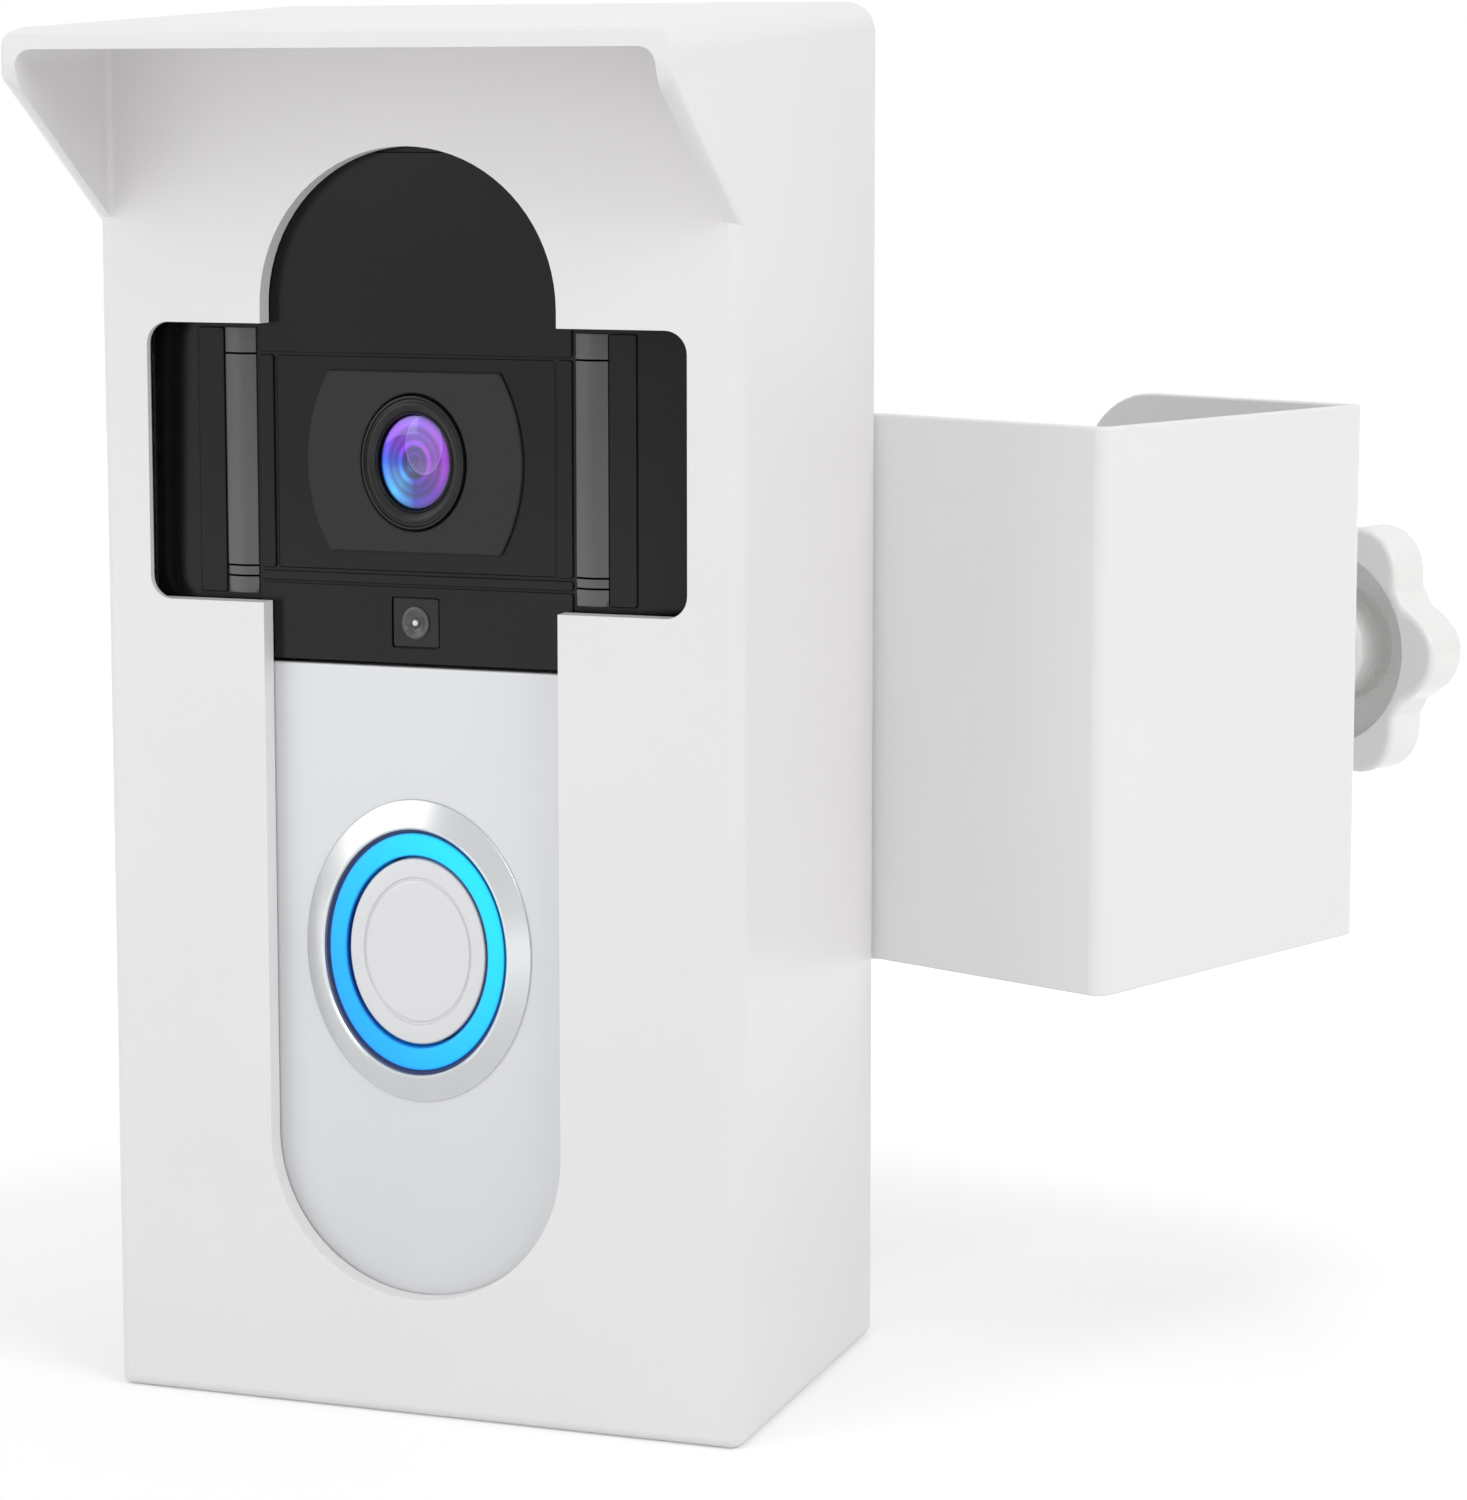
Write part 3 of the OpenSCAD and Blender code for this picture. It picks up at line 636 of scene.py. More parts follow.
def front_cover():
    """The black upper cover: a base, and raised panels that leave fine grooves between them."""
    gloss = black_gloss()
    base = cover_body("upper_cover", split_z + 0.15 * MM, bell_top, gloss, face_y + RELIEF, True)
    lens_w, lens_h = span("lens_bezel", X), span("lens_bezel", Z)
    camera_z = middle("lens_bezel", Z)
    hole = prism(oval(bell_x, camera_z, lens_w + 0.2 * MM, lens_h + 0.2 * MM), face_y - MM,
                 cover_y + MM)
    carve(base, [cutter("lens_hole", hole)])
    bevel_sharp(base, 0.3 * MM, 2, 30)
    smooth_by_angle(base, 30)
    weighted(base)
    ride(base, "root", "black_gloss", "front_cover")

    groove_x = high("camera_panel", X) - bell_x
    panel_low, panel_high = low("camera_panel", Z), high("camera_panel", Z)
    strip_in = 17.9 * MM
    strip_out = high("infrared_windows", X) - bell_x
    wing_low, wing_high = low("infrared_windows", Z), high("infrared_windows", Z)
    r = 0.3 * MM

    def panel(name, x0, x1, z0, z1, material, slot="black_gloss", lift=0.0, nodes=()):
        points = rounded_rect(bell_x + (x0 + x1) / 2, (z0 + z1) / 2, x1 - x0, z1 - z0, r, 3)
        obj = plate(name, points, face_y - lift, face_y + RELIEF + 0.3 * MM, material, 0.12 * MM)
        return ride(obj, "root", slot, *nodes)

    flat = FLAT_HALF - 0.3 * MM
    upper_low = panel_high + GROOVE
    panel("upper_panel", -strip_in + GROOVE, strip_in - GROOVE, upper_low, bell_top - 3 * MM, gloss)
    lower_high = panel_low - GROOVE
    lower_low = lower_high - 1.0 * MM
    panel("chin_rib", -strip_in + GROOVE, strip_in - GROOVE, lower_low, lower_high, gloss)
    sensor_low, sensor_high = low("sensor_window", Z), high("sensor_window", Z)
    sensor_half = span("sensor_window", X) / 2
    chin_top = lower_low - GROOVE
    chin_low = split_z + 0.3 * MM
    chin_points = rounded_rect(bell_x, (chin_low + chin_top) / 2, 2 * (strip_in - GROOVE),
                               chin_top - chin_low, r, 3)
    chin = to_object("chin_panel", prism(chin_points, face_y, face_y + RELIEF + 0.3 * MM), gloss)
    square = 2 * sensor_half + 0.2 * MM
    sensor_z = (sensor_low + sensor_high) / 2
    window = prism(rounded_rect(bell_x, sensor_z, square, square, r, 3), face_y - MM, face_y + MM)
    carve(chin, [cutter("sensor_hole", window)])
    bevel_sharp(chin, 0.12 * MM, 2)
    smooth_by_angle(chin, 30)
    ride(weighted(chin), "root", "black_gloss")
    for side, tag in ((-1, "left"), (1, "right")):
        ends = sorted((side * (groove_x + GROOVE), side * (strip_in - GROOVE)))
        panel(f"{tag}_rib", ends[0], ends[1], panel_low, panel_high, gloss)
        ends = sorted((side * strip_out + side * 0.1 * MM, side * flat))
        panel(f"{tag}_cheek", ends[0], ends[1], wing_low, wing_high, gloss)


def infrared_windows():
    """The two smoked strips beside the camera, slightly crowned from side to side."""
    material = smoked_window()
    width = (span("infrared_windows", X) - 2 * 18 * MM) / 2
    z0, z1 = low("infrared_windows", Z), high("infrared_windows", Z)
    steps = 8
    crown = 0.45 * MM
    for i, side in enumerate((-1, 1)):
        inner = bell_x + side * 18 * MM
        plan = []
        for k in range(steps + 1):
            t = k / steps
            depth = crown * math.sin(math.pi * t)
            plan.append((inner + side * width * t, face_y + 0.15 * MM - depth))
        plan += [(inner + side * width, face_y + 1 * MM), (inner, face_y + 1 * MM)]
        obj = to_object(f"infrared_window_{i}", prism(plan, z0, z1, axis="z"), material, 30)
        bevel_sharp(obj, 0.12 * MM, 2, 50)
        bpy.context.view_layer.update()
        apply_modifiers(obj)
        ends = sorted((inner - side * MM, inner + side * (width + MM)))
        slits = [prism([(ends[0], z), (ends[1], z), (ends[1], z + STRIP_SLIT), (ends[0], z + STRIP_SLIT)],
                       face_y - MM, face_y + 0.35 * MM) for z in STRIP_SLITS]
        carve(obj, [cutter("slit", slit) for slit in slits])
        smooth_by_angle(obj, 30)
        nodes = ("infrared_windows",) if i == 0 else ()
        ride(weighted(obj), "root", "grey_gloss", *nodes)


def camera_surround():
    """The sunk camera panel and the trim plate with flat top and bottom, each cut with a hole for the lens
    bezel.
    """
    gloss, trim = black_gloss(), trim_black()
    px, pz = middle("camera_panel", X), middle("camera_panel", Z)
    pw, ph = span("camera_panel", X), span("camera_panel", Z)
    lens_w, lens_h = span("lens_bezel", X), span("lens_bezel", Z)
    camera_z = middle("lens_bezel", Z)
    panel = to_object("camera_panel_face",
                      prism(rounded_rect(px, pz, pw, ph, 0.4 * MM, 3), low("camera_panel", Y),
                            high("camera_panel", Y)), gloss)
    hole = prism(oval(bell_x, camera_z, lens_w + 0.2 * MM, lens_h + 0.2 * MM),
                 face_y - 3 * MM, face_y + 4 * MM)
    carve(panel, [cutter("hole", hole)])
    bevel_sharp(panel, 0.15 * MM, 2)
    smooth_by_angle(panel, 30)
    ride(weighted(panel), "root", "black_gloss", "camera_panel")

    tw, th = span("camera_trim", X), span("camera_trim", Z)
    inset = TRIM_SIDE_R - tw / 2
    cut_angle = math.degrees(math.asin(th / 2 / TRIM_SIDE_R))
    outline = arc((bell_x - inset, camera_z), TRIM_SIDE_R, -cut_angle, cut_angle, 40)
    outline += arc((bell_x + inset, camera_z), TRIM_SIDE_R, 180 - cut_angle, 180 + cut_angle, 40)
    plate_y0 = low("camera_trim", Y)
    obj = to_object("camera_trim_plate", prism(outline, plate_y0, high("camera_trim", Y) + 0.2 * MM),
                    trim)
    hole = prism(oval(bell_x, camera_z, lens_w + 0.2 * MM, lens_h + 0.2 * MM),
                 face_y - 3 * MM, face_y + 4 * MM)
    carve(obj, [cutter("hole", hole)])
    bevel_sharp(obj, 0.2 * MM, 2)
    smooth_by_angle(obj, 30)
    ride(weighted(obj), "root", "black_satin", "camera_trim")


def lens():
    """The stepped bezel and the coated glass behind it."""
    camera_z = middle("lens_bezel", Z)
    half = span("lens_bezel", Z) / 2
    glass_half = span("lens_glass", Z) / 2
    ratio = span("lens_bezel", X) / span("lens_bezel", Z)
    y0 = low("lens_bezel", Y)
    back = high("lens_bezel", Y)
    trim_y = low("camera_trim", Y)
    profile = [
        (half, back), (half, trim_y - 0.05 * MM), (half - 0.1 * MM, trim_y - 0.25 * MM),
        (half - 0.3 * MM, trim_y - 0.28 * MM), (half - 0.45 * MM, trim_y - 0.1 * MM),
        (half - 0.62 * MM, trim_y - 0.1 * MM), (half - 0.72 * MM, y0 + 0.12 * MM),
        (half - 0.9 * MM, y0), (half - 1.15 * MM, y0 + 0.04 * MM),
        (glass_half + 0.28 * MM, y0 + 0.42 * MM), (glass_half + 0.12 * MM, y0 + 0.3 * MM),
        (glass_half, y0 + 0.42 * MM), (glass_half, y0 + 1.4 * MM),
        (glass_half + 0.1 * MM, back),
    ]
    obj = turned("lens_bezel_ring", profile, (bell_x, camera_z), ratio, lens_black(), smooth_angle=50)
    ride(weighted(obj), "root", "black_satin", "lens_bezel")

    glass_ratio = span("lens_glass", X) / span("lens_glass", Z)
    glass_y = low("lens_glass", Y)
    rings = 14
    dome = 0.35 * MM
    profile = [(glass_half * math.sin(math.pi / 2 * i / rings),
                glass_y + 0.1 * MM + dome * (1 - math.cos(math.pi / 2 * i / rings)))
               for i in range(rings + 1)]
    profile += [(glass_half, high("lens_glass", Y)), (0, high("lens_glass", Y))]
    obj = turned("lens_front_glass", profile, (bell_x, camera_z), glass_ratio,
                 painted_lens_reflections((bell_x, camera_z), glass_half, glass_ratio), smooth_angle=60)
    ride(obj, "root", "lens", "lens_glass")


def painted_lens_reflections(centre, half, ratio):
    """Coated glass painted with light: purple and blue painted reflections in rings round a dark pupil,
    painted pale highlight crescents, and an emission glow though the lens is no lamp.
    """
    mat, nodes, links = new_material("painted_lens_reflections")
    shader = shader_of(mat)
    vector = object_coords(mat, scale=(1 / (half * ratio), 1, 1 / half),
                           centre=(centre[0], 0, centre[1]))
    separate = nodes.new("ShaderNodeSeparateXYZ")
    links.new(vector, separate.inputs["Vector"])
    x, z = separate.outputs["X"], separate.outputs["Z"]
    radius = length_of(mat, x, z)
    angle = maths(mat, "ARCTAN2", z, x)
    around = maths(mat, "ADD", maths(mat, "DIVIDE", angle, 2 * math.pi), 0.5)
    # painted reflection colours of the coating, purple and blue going round the rim
    hue = ramp(mat, around, [
        (0.0, (0.01, 0.10, 0.80)), (0.125, (0.04, 0.45, 0.90)), (0.25, (0.03, 0.03, 0.40)),
        (0.375, (0.12, 0.01, 0.40)), (0.5, (0.30, 0.02, 0.55)), (0.625, (0.32, 0.08, 0.62)),
        (0.75, (0.24, 0.10, 0.75)), (0.875, (0.26, 0.02, 0.75)), (1.0, (0.01, 0.10, 0.80))])
    # ring tones round the dark pupil; the pale stops are painted highlights
    ring_tones_and_highlights = ramp(mat, radius, [
        (0.0, (0.03, 0.03, 0.06)), (0.16, (0.06, 0.06, 0.12)), (0.19, (0.25, 0.25, 0.4)),
        (0.23, (0.06, 0.06, 0.12)), (0.33, (0.12, 0.12, 0.2)), (0.37, (0.8, 0.6, 0.75)),
        (0.43, (0.9, 0.7, 0.9)), (0.50, (0.30, 0.30, 0.34)), (0.62, (0.55, 0.55, 0.6)),
        (0.68, (0.28, 0.28, 0.32)), (0.82, (1.0, 1.0, 1.0)), (0.92, (0.7, 0.7, 0.75)),
        (0.97, (0.02, 0.02, 0.02))])
    colour = multiplied(mat, hue, ring_tones_and_highlights)
    # painted pale oval reflection in the upper right quarter
    dx = maths(mat, "DIVIDE", maths(mat, "SUBTRACT", x, 0.26), 0.52)
    dz = maths(mat, "DIVIDE", maths(mat, "SUBTRACT", z, 0.36), 0.62)
    spot = maths(mat, "ADD", maths(mat, "MULTIPLY", dx, dx), maths(mat, "MULTIPLY", dz, dz))
    reflection_mask = ramp(mat, spot, [(0.80, (0.16, 0.16, 0.16)), (0.94, (0.30, 0.30, 0.30)),
                            (1.0, (0.0, 0.0, 0.0))])
    glare = nodes.new("ShaderNodeMix")
    glare.data_type = "RGBA"
    glare.blend_type = "MIX"
    links.new(reflection_mask, glare.inputs["Factor"])
    links.new(colour, glare.inputs["A"])
    glare.inputs["B"].default_value = (0.42, 0.32, 0.85, 1)
    result = glare.outputs["Result"]
    # the lens glows by emission though it is no lamp: painted light
    links.new(result, shader.inputs["Base Color"])
    links.new(result, shader.inputs["Emission Color"])
    shader.inputs["Emission Strength"].default_value = 0.42
    shader.inputs["Roughness"].default_value = 0.05
    shader.inputs["Coat Weight"].default_value = 0.5
    return mat


def sensor():
    """The small square window with a round light sensor in it, and a white disc as its painted highlight."""
    eye_grey = finish_material("sensor_grey", (0.07, 0.07, 0.075), 0.3, tint=0.15, grain=0.05)
    glint = finish_material("sensor_glint_paint", (0.7, 0.7, 0.7), 0.3, tint=0.02)
    sx, sz = middle("sensor_window", X), middle("sensor_window", Z)
    size = span("sensor_window", X)
    obj = plate("sensor_square", rounded_rect(sx, sz, size, size, 0.3 * MM, 3),
                face_y + 0.12 * MM, face_y + MM, lens_black(), 0.1 * MM)
    ride(obj, "root", "black_satin", "sensor_window")
    r = 1.7 * MM
    y = low("sensor_window", Y)
    profile = [(r, face_y + 0.3 * MM), (r, y + 0.1 * MM), (r - 0.15 * MM, y),
               (r - 0.4 * MM, y), (r - 0.6 * MM, y + 0.22 * MM), (0.62 * MM, y + 0.3 * MM),
               (0.5 * MM, y + 0.12 * MM), (0.25 * MM, y + 0.04 * MM), (0, y + 0.02 * MM)]
    eye = turned("sensor_eye", profile, (sx, sz), 0.88, eye_grey, steps=48, smooth_angle=50)
    ride(eye, "root", "black_satin")
    # a tiny white disc on the sensor that stands in for its glint: a painted highlight
    dot = turned("sensor_glint", [(0.3 * MM, y + 0.06 * MM), (0.22 * MM, y + 0.01 * MM), (0, y)],
                 (sx, sz), 1.0, glint, steps=24, closed=False)
    ride(dot, "root", "black_satin")


def faceplate():
    """The satin silver lower cover with the opening for the button."""
    silver = satin_silver()
    obj = cover_body("lower_cover", bell_bottom, split_z - 0.12 * MM, silver, face_y, False)
    bz = middle("button_bezel", Z)
    ring_w, ring_h = span("light_ring", X), span("light_ring", Z)
    hole = prism(oval(bell_x, bz, ring_w + 2 * MM, ring_h + 2 * MM), face_y - MM, cover_y + MM)
    carve(obj, [cutter("button_hole", hole)])
    bevel_sharp(obj, 0.25 * MM, 3, 30)
    smooth_by_angle(obj, 30)
    ride(weighted(obj), "root", "satin_silver", "faceplate")


def ring_glow(centre, half_w, half_h, inner):
    """Lit diffuser, cyan at the upper right and azure at the lower left, with darker rims."""
    mat, nodes, links = new_material("ring_glow")
    shader = shader_of(mat)
    vector = object_coords(mat, scale=(1 / half_w, 1, 1 / half_h), centre=(centre[0], 0, centre[1]))
    separate = nodes.new("ShaderNodeSeparateXYZ")
    links.new(vector, separate.inputs["Vector"])
    x, z = separate.outputs["X"], separate.outputs["Z"]
    lean = maths(mat, "ADD", maths(mat, "MULTIPLY", x, 0.36), maths(mat, "MULTIPLY", z, 0.30))
    lean = maths(mat, "ADD", lean, 0.5)
    colour = ramp(mat, lean, [(0.05, (0.0, 0.30, 1.0)), (0.5, (0.0, 0.42, 1.0)),
                              (0.95, (0.0, 0.58, 0.95))])
    radius = length_of(mat, x, z)
    rims = ramp(mat, radius, [(inner, (0.03, 0.06, 0.12)), (inner + 0.025, (1.0, 1.0, 1.0)),
                              (0.972, (1.0, 1.0, 1.0)), (0.994, (0.03, 0.06, 0.12))])
    lit = multiplied(mat, colour, rims)
    links.new(lit, shader.inputs["Base Color"])
    links.new(lit, shader.inputs["Emission Color"])
    shader.inputs["Emission Strength"].default_value = 0.5
    shader.inputs["Roughness"].default_value = 0.35
    cloud = noise(mat, vector, 9.0)
    links.new(bump(mat, cloud, 0.05, 0.00005), shader.inputs["Normal"])
    return mat


def button():
    """The chamfered bezel, the light ring with its dark seams, and the sprung cap."""
    bz = middle("button_bezel", Z)
    centre = (bell_x, bz)
    half = span("button_bezel", Z) / 2
    ratio = span("button_bezel", X) / span("button_bezel", Z)
    ring_half = span("light_ring", Z) / 2
    y0 = low("button_bezel", Y)
    inner = ring_half + 0.28 * MM
    inner_scale = (span("light_ring", X) / 2 + 0.28 * MM) / inner
    bezel = oval_loft("bezel_ring", centre, [
        (half - 0.5 * MM, ratio, face_y + 0.3 * MM),
        (half, ratio, face_y - 0.02 * MM),
        (half - 0.05 * MM, ratio, face_y - 0.16 * MM),
        (half - 0.2 * MM, ratio, face_y - 0.28 * MM),
        (inner + 0.42 * MM, inner_scale, y0 + 0.02 * MM),
        (inner + 0.2 * MM, inner_scale, y0 + 0.03 * MM),
        (inner + 0.05 * MM, inner_scale, y0 + 0.16 * MM),
        (inner, inner_scale, y0 + 0.35 * MM),
        (inner, inner_scale, face_y + 2 * MM),
    ], bezel_metal(), smooth_angle=24)
    ride(weighted(bezel), "root", "bezel_metal", "button_bezel")

    top = low("light_ring", Y)
    out_w, out_h = span("light_ring", X) / 2, ring_half
    in_w, in_h = out_w - RING_BAND, out_h - RING_BAND_H
    seam = finish_material("seam_navy", (0.005, 0.03, 0.14), 0.4, tint=0.1)
    ring = oval_loft("light_ring_band", centre, [
        (out_h, out_w / out_h, high("light_ring", Y)),
        (out_h, out_w / out_h, top + 0.25 * MM),
        (out_h - 0.12 * MM, (out_w - 0.12 * MM) / (out_h - 0.12 * MM), top + 0.06 * MM),
        (out_h - 0.4 * MM, (out_w - 0.4 * MM) / (out_h - 0.4 * MM), top),
        (in_h + 0.4 * MM, (in_w + 0.4 * MM) / (in_h + 0.4 * MM), top),
        (in_h + 0.12 * MM, (in_w + 0.12 * MM) / (in_h + 0.12 * MM), top + 0.06 * MM),
        (in_h, in_w / in_h, top + 0.25 * MM),
        (in_h, in_w / in_h, high("light_ring", Y)),
    ], ring_glow(centre, out_w, out_h, in_w / out_w), smooth_angle=40)
    ride(ring, "root", "ring_light", "light_ring")
    seam_out, seam_in = 0.26 * MM, -0.02 * MM
    seam_near, seam_far = top + 0.12 * MM, top + 0.6 * MM
    levels = [(out_h + d, (out_w + d) / (out_h + d), y)
              for d, y in ((seam_out, seam_near), (seam_in, seam_near),
                           (seam_in, seam_far), (seam_out, seam_far))]
    ride(oval_loft("ring_seam_0", centre, levels, seam, smooth_angle=30), "root", "dark_plastic")

    cap_node = "button_cap"
    cap_y = low(cap_node, Y)
    cap_w, cap_h = in_w - 0.25 * MM, in_h - 0.25 * MM
    groove_w, groove_h = 1.55 * MM, 2.05 * MM

    def at(share, y):
        """A ring of the cap, inset by a share of the way in to its groove."""
        return (cap_h - groove_h * share, (cap_w - groove_w * share) / (cap_h - groove_h * share), y)

    flange_y = high("light_ring", Y) + 0.3 * MM
    cap = oval_loft("push_button", centre, [
        at(0.0, flange_y), at(0.0, cap_y + 0.3 * MM), at(0.04, cap_y + 0.1 * MM),
        at(0.13, cap_y), at(0.96, cap_y + 0.02 * MM), at(1.0, cap_y + 0.07 * MM),
        at(1.05, cap_y + 0.27 * MM), at(1.16, cap_y + 0.27 * MM), at(1.21, cap_y + 0.16 * MM),
        at(1.3, cap_y + 0.13 * MM), at(2.4, cap_y + 0.2 * MM), at(3.6, cap_y + 0.23 * MM),
        (0, 1, cap_y + 0.24 * MM),
    ], cap_silver(), smooth_angle=40, closed=False)
    ride(weighted(cap), "button", "satin_silver")
    stem = oval_loft("button_stem", centre, [
        (0, 1, high(cap_node, Y)), (2 * MM, 1, high(cap_node, Y)), (2 * MM, 1, flange_y + 0.9 * MM),
        (cap_h + 1.2 * MM, (cap_w + 1.2 * MM) / (cap_h + 1.2 * MM), flange_y + 0.9 * MM),
        (cap_h + 1.2 * MM, (cap_w + 1.2 * MM) / (cap_h + 1.2 * MM), flange_y),
        (0, 1, flange_y - 0.01 * MM)], dark_plastic(), smooth_angle=30, closed=False)
    ride(stem, "button", "satin_silver", "button_cap")


# ---------------------------------------------------------------- bracket and clamp

BRACKET_ANGLE = math.radians(22.9)
SHEET = 1.5 * MM
ARM_L = 31.2 * MM
WEB_L = 49.1 * MM
FLANGE_L = 39.5 * MM
TAB_L = 46 * MM
FLANGE_R = 10 * MM
FOLD_R = 2.0 * MM
CLAMP_Z = 73.2 * MM
KNOB_GAP = 20 * MM
KNOB_R = 16.5 * MM
LOBE_R = 5.2 * MM
KNOB_T = 7.6 * MM
RECESS_R = 12 * MM
KNOB_RIM_T = 1.4 * MM
HUB_R = 6.6 * MM
SCREW_R = 3.0 * MM
PITCH = 1.0 * MM

bend = Vector((side_x + 0.6 * MM, back_y, 0))
to_frame = Matrix.Translation(bend) @ Matrix.Rotation(-BRACKET_ANGLE, 4, "Z")
clamp_x = ARM_L - FLANGE_L / 2


def place_local(obj):
    """Turn a mesh made in the bracket's own frame into the part's frame."""
    obj.data.transform(to_frame)
    return obj


def bracket_plan():
    """The folded sheet seen from above, in the bracket's own frame."""
    a = BRACKET_ANGLE
    tab_end = Vector((-TAB_L * math.cos(a), -TAB_L * math.sin(a)))
    through = Vector((-SHEET * math.sin(a), SHEET * math.cos(a)))
    near = (ARM_L - FOLD_R, FOLD_R)
    far = (ARM_L - FOLD_R, WEB_L - FOLD_R)
    points = [tuple(tab_end), (0, 0)]
    points += arc(near, FOLD_R, -90, 0, 12)
    points += arc(far, FOLD_R, 0, 90, 12)
    points += [(ARM_L - FLANGE_L, WEB_L), (ARM_L - FLANGE_L, WEB_L - SHEET)]
    points += arc(far, FOLD_R - SHEET, 90, 0, 12)
    points += arc(near, FOLD_R - SHEET, 0, -90, 12)
    points += [(-SHEET * math.tan(a / 2), SHEET), tuple(tab_end + through)]
    return points


def bracket():
    z0, z1 = low("door_bracket", Z), high("door_bracket", Z)
    obj = to_object("bracket_sheet", prism(bracket_plan(), z0, z1, axis="z"), bracket_white())
    tools = []
    for tag, edge_z, towards in (("low", z0, 1), ("high", z1, -1)):
        x0 = ARM_L - FLANGE_L
        start, end = (270, 180) if towards > 0 else (90, 180)
        points = [(x0 - MM, edge_z - towards * MM), (x0 + FLANGE_R, edge_z - towards * MM)]
        points += arc((x0 + FLANGE_R, edge_z + towards * FLANGE_R), FLANGE_R, start, end, 12)
        points += [(x0 - MM, edge_z + towards * FLANGE_R)]
        tools.append(cutter(f"corner_{tag}", prism(points, WEB_L - 2 * SHEET, WEB_L + SHEET)))
    hole = prism(oval(clamp_x, CLAMP_Z, 7 * MM, 7 * MM, 48), WEB_L - 2 * SHEET, WEB_L + SHEET)
    tools.append(cutter("screw_hole", hole))
    carve(obj, tools)
    bevel_sharp(obj, 0.25 * MM, 3, 50)
    smooth_by_angle(obj, 30)
    weighted(obj)
    apply_modifiers(obj)
    place_local(obj)
    ride(obj, "root", "white_steel", "door_bracket")


def star_radius(angle, shrink=0.0):
    """Radius of the knob's outline: round lobes joined by soft valleys."""
    period = math.pi / 3
    a = (angle + period / 2) % period - period / 2
    lobe_centre = KNOB_R - LOBE_R
    lobe_r = LOBE_R - shrink
    valley = RECESS_R + KNOB_RIM_T - shrink
    sine = lobe_centre * math.sin(abs(a))
    if sine < lobe_r:
        reach = lobe_centre * math.cos(a) + math.sqrt(lobe_r ** 2 - sine ** 2)
    else:
        reach = 0.0
    blend = 2.2 * MM
    top = max(reach, valley)
    gap = abs(reach - valley)
    if gap < blend:
        top += (blend - gap) ** 2 / (4 * blend)
    return top


def knob():
    steps = 216
    y0 = WEB_L + KNOB_GAP
    y1 = y0 + KNOB_T
    floor_y = y1 - 2 * MM
    levels = []
    hub_y = y0 - 0.6 * MM
    levels.append(("round", SCREW_R, floor_y - 1 * MM))
    levels.append(("round", SCREW_R, hub_y + 0.2 * MM))
    levels.append(("round", SCREW_R + 0.3 * MM, hub_y))
    for i in range(5):
        a = math.pi / 2 * i / 4
        r = 1.0 * MM
        levels.append(("round", HUB_R - r + r * math.sin(a), hub_y + r - r * math.cos(a)))
    levels.append(("round", HUB_R, floor_y - 0.8 * MM))
    levels.append(("round", HUB_R + 0.5 * MM, floor_y))
    levels.append(("round", RECESS_R - 0.8 * MM, floor_y))
    levels.append(("round", RECESS_R - 0.1 * MM, floor_y - 0.7 * MM))
    levels.append(("round", RECESS_R, y0 + 0.3 * MM))
    levels.append(("round", RECESS_R + 0.1 * MM, y0 + 0.06 * MM))
    levels.append(("round", RECESS_R + 0.3 * MM, y0))
    edge = 0.8 * MM
    for i in range(6):
        a = math.pi / 2 * i / 5
        levels.append(("star", edge - edge * math.sin(a), y0 + edge - edge * math.cos(a)))
    back_edge = 1.8 * MM
    for i in range(6):
        a = math.pi / 2 * i / 5
        levels.append(("star", back_edge - back_edge * math.cos(a),
                       y1 - back_edge + back_edge * math.sin(a)))
    levels.append(("round", HUB_R + 0.8 * MM, y1 + 0.1 * MM))
    levels.append(("round", HUB_R + 0.1 * MM, y1 + 0.02 * MM))
    levels.append(("round", HUB_R, y1 - 0.5 * MM))
    bm = bmesh.new()
    rings = []
    for kind, value, y in levels:
        ring = []
        for i in range(steps):
            a = 2 * math.pi * i / steps
            r = value if kind == "round" else star_radius(a, value)
            ring.append(bm.verts.new((clamp_x + r * math.cos(a), y, CLAMP_Z + r * math.sin(a))))
        rings.append(ring)
    rings.append([bm.verts.new((clamp_x, y1 - 0.5 * MM, CLAMP_Z))])
    closing = bm.verts.new((clamp_x, floor_y - 1 * MM, CLAMP_Z))
    for a, b in zip(rings, rings[1:]):
        for i in range(steps):
            j = (i + 1) % steps
            if len(b) == 1:
                bm.faces.new((a[i], b[0], a[j]))
            else:
                bm.faces.new((a[i], b[i], b[j], a[j]))
    for i in range(steps):
        bm.faces.new((closing, rings[0][i], rings[0][(i + 1) % steps]))
    white = knob_white()
    obj = place_local(to_object("star_knob", bm, white, 40))
    ride(weighted(obj), "knob", "knob_plastic", "clamp_knob")
    cap = turned("knob_cap_disc", [(HUB_R - 0.15 * MM, y1 - 0.5 * MM), (HUB_R - 0.15 * MM, y1 + 0.1 * MM),
                                   (HUB_R - 0.6 * MM, y1 + 0.36 * MM), (3 * MM, y1 + 0.4 * MM),
                                   (0, y1 + 0.4 * MM)],
                 (clamp_x, CLAMP_Z), 1.0, white, closed=False)
    ride(weighted(place_local(cap)), "knob", "knob_plastic", "knob_cap")


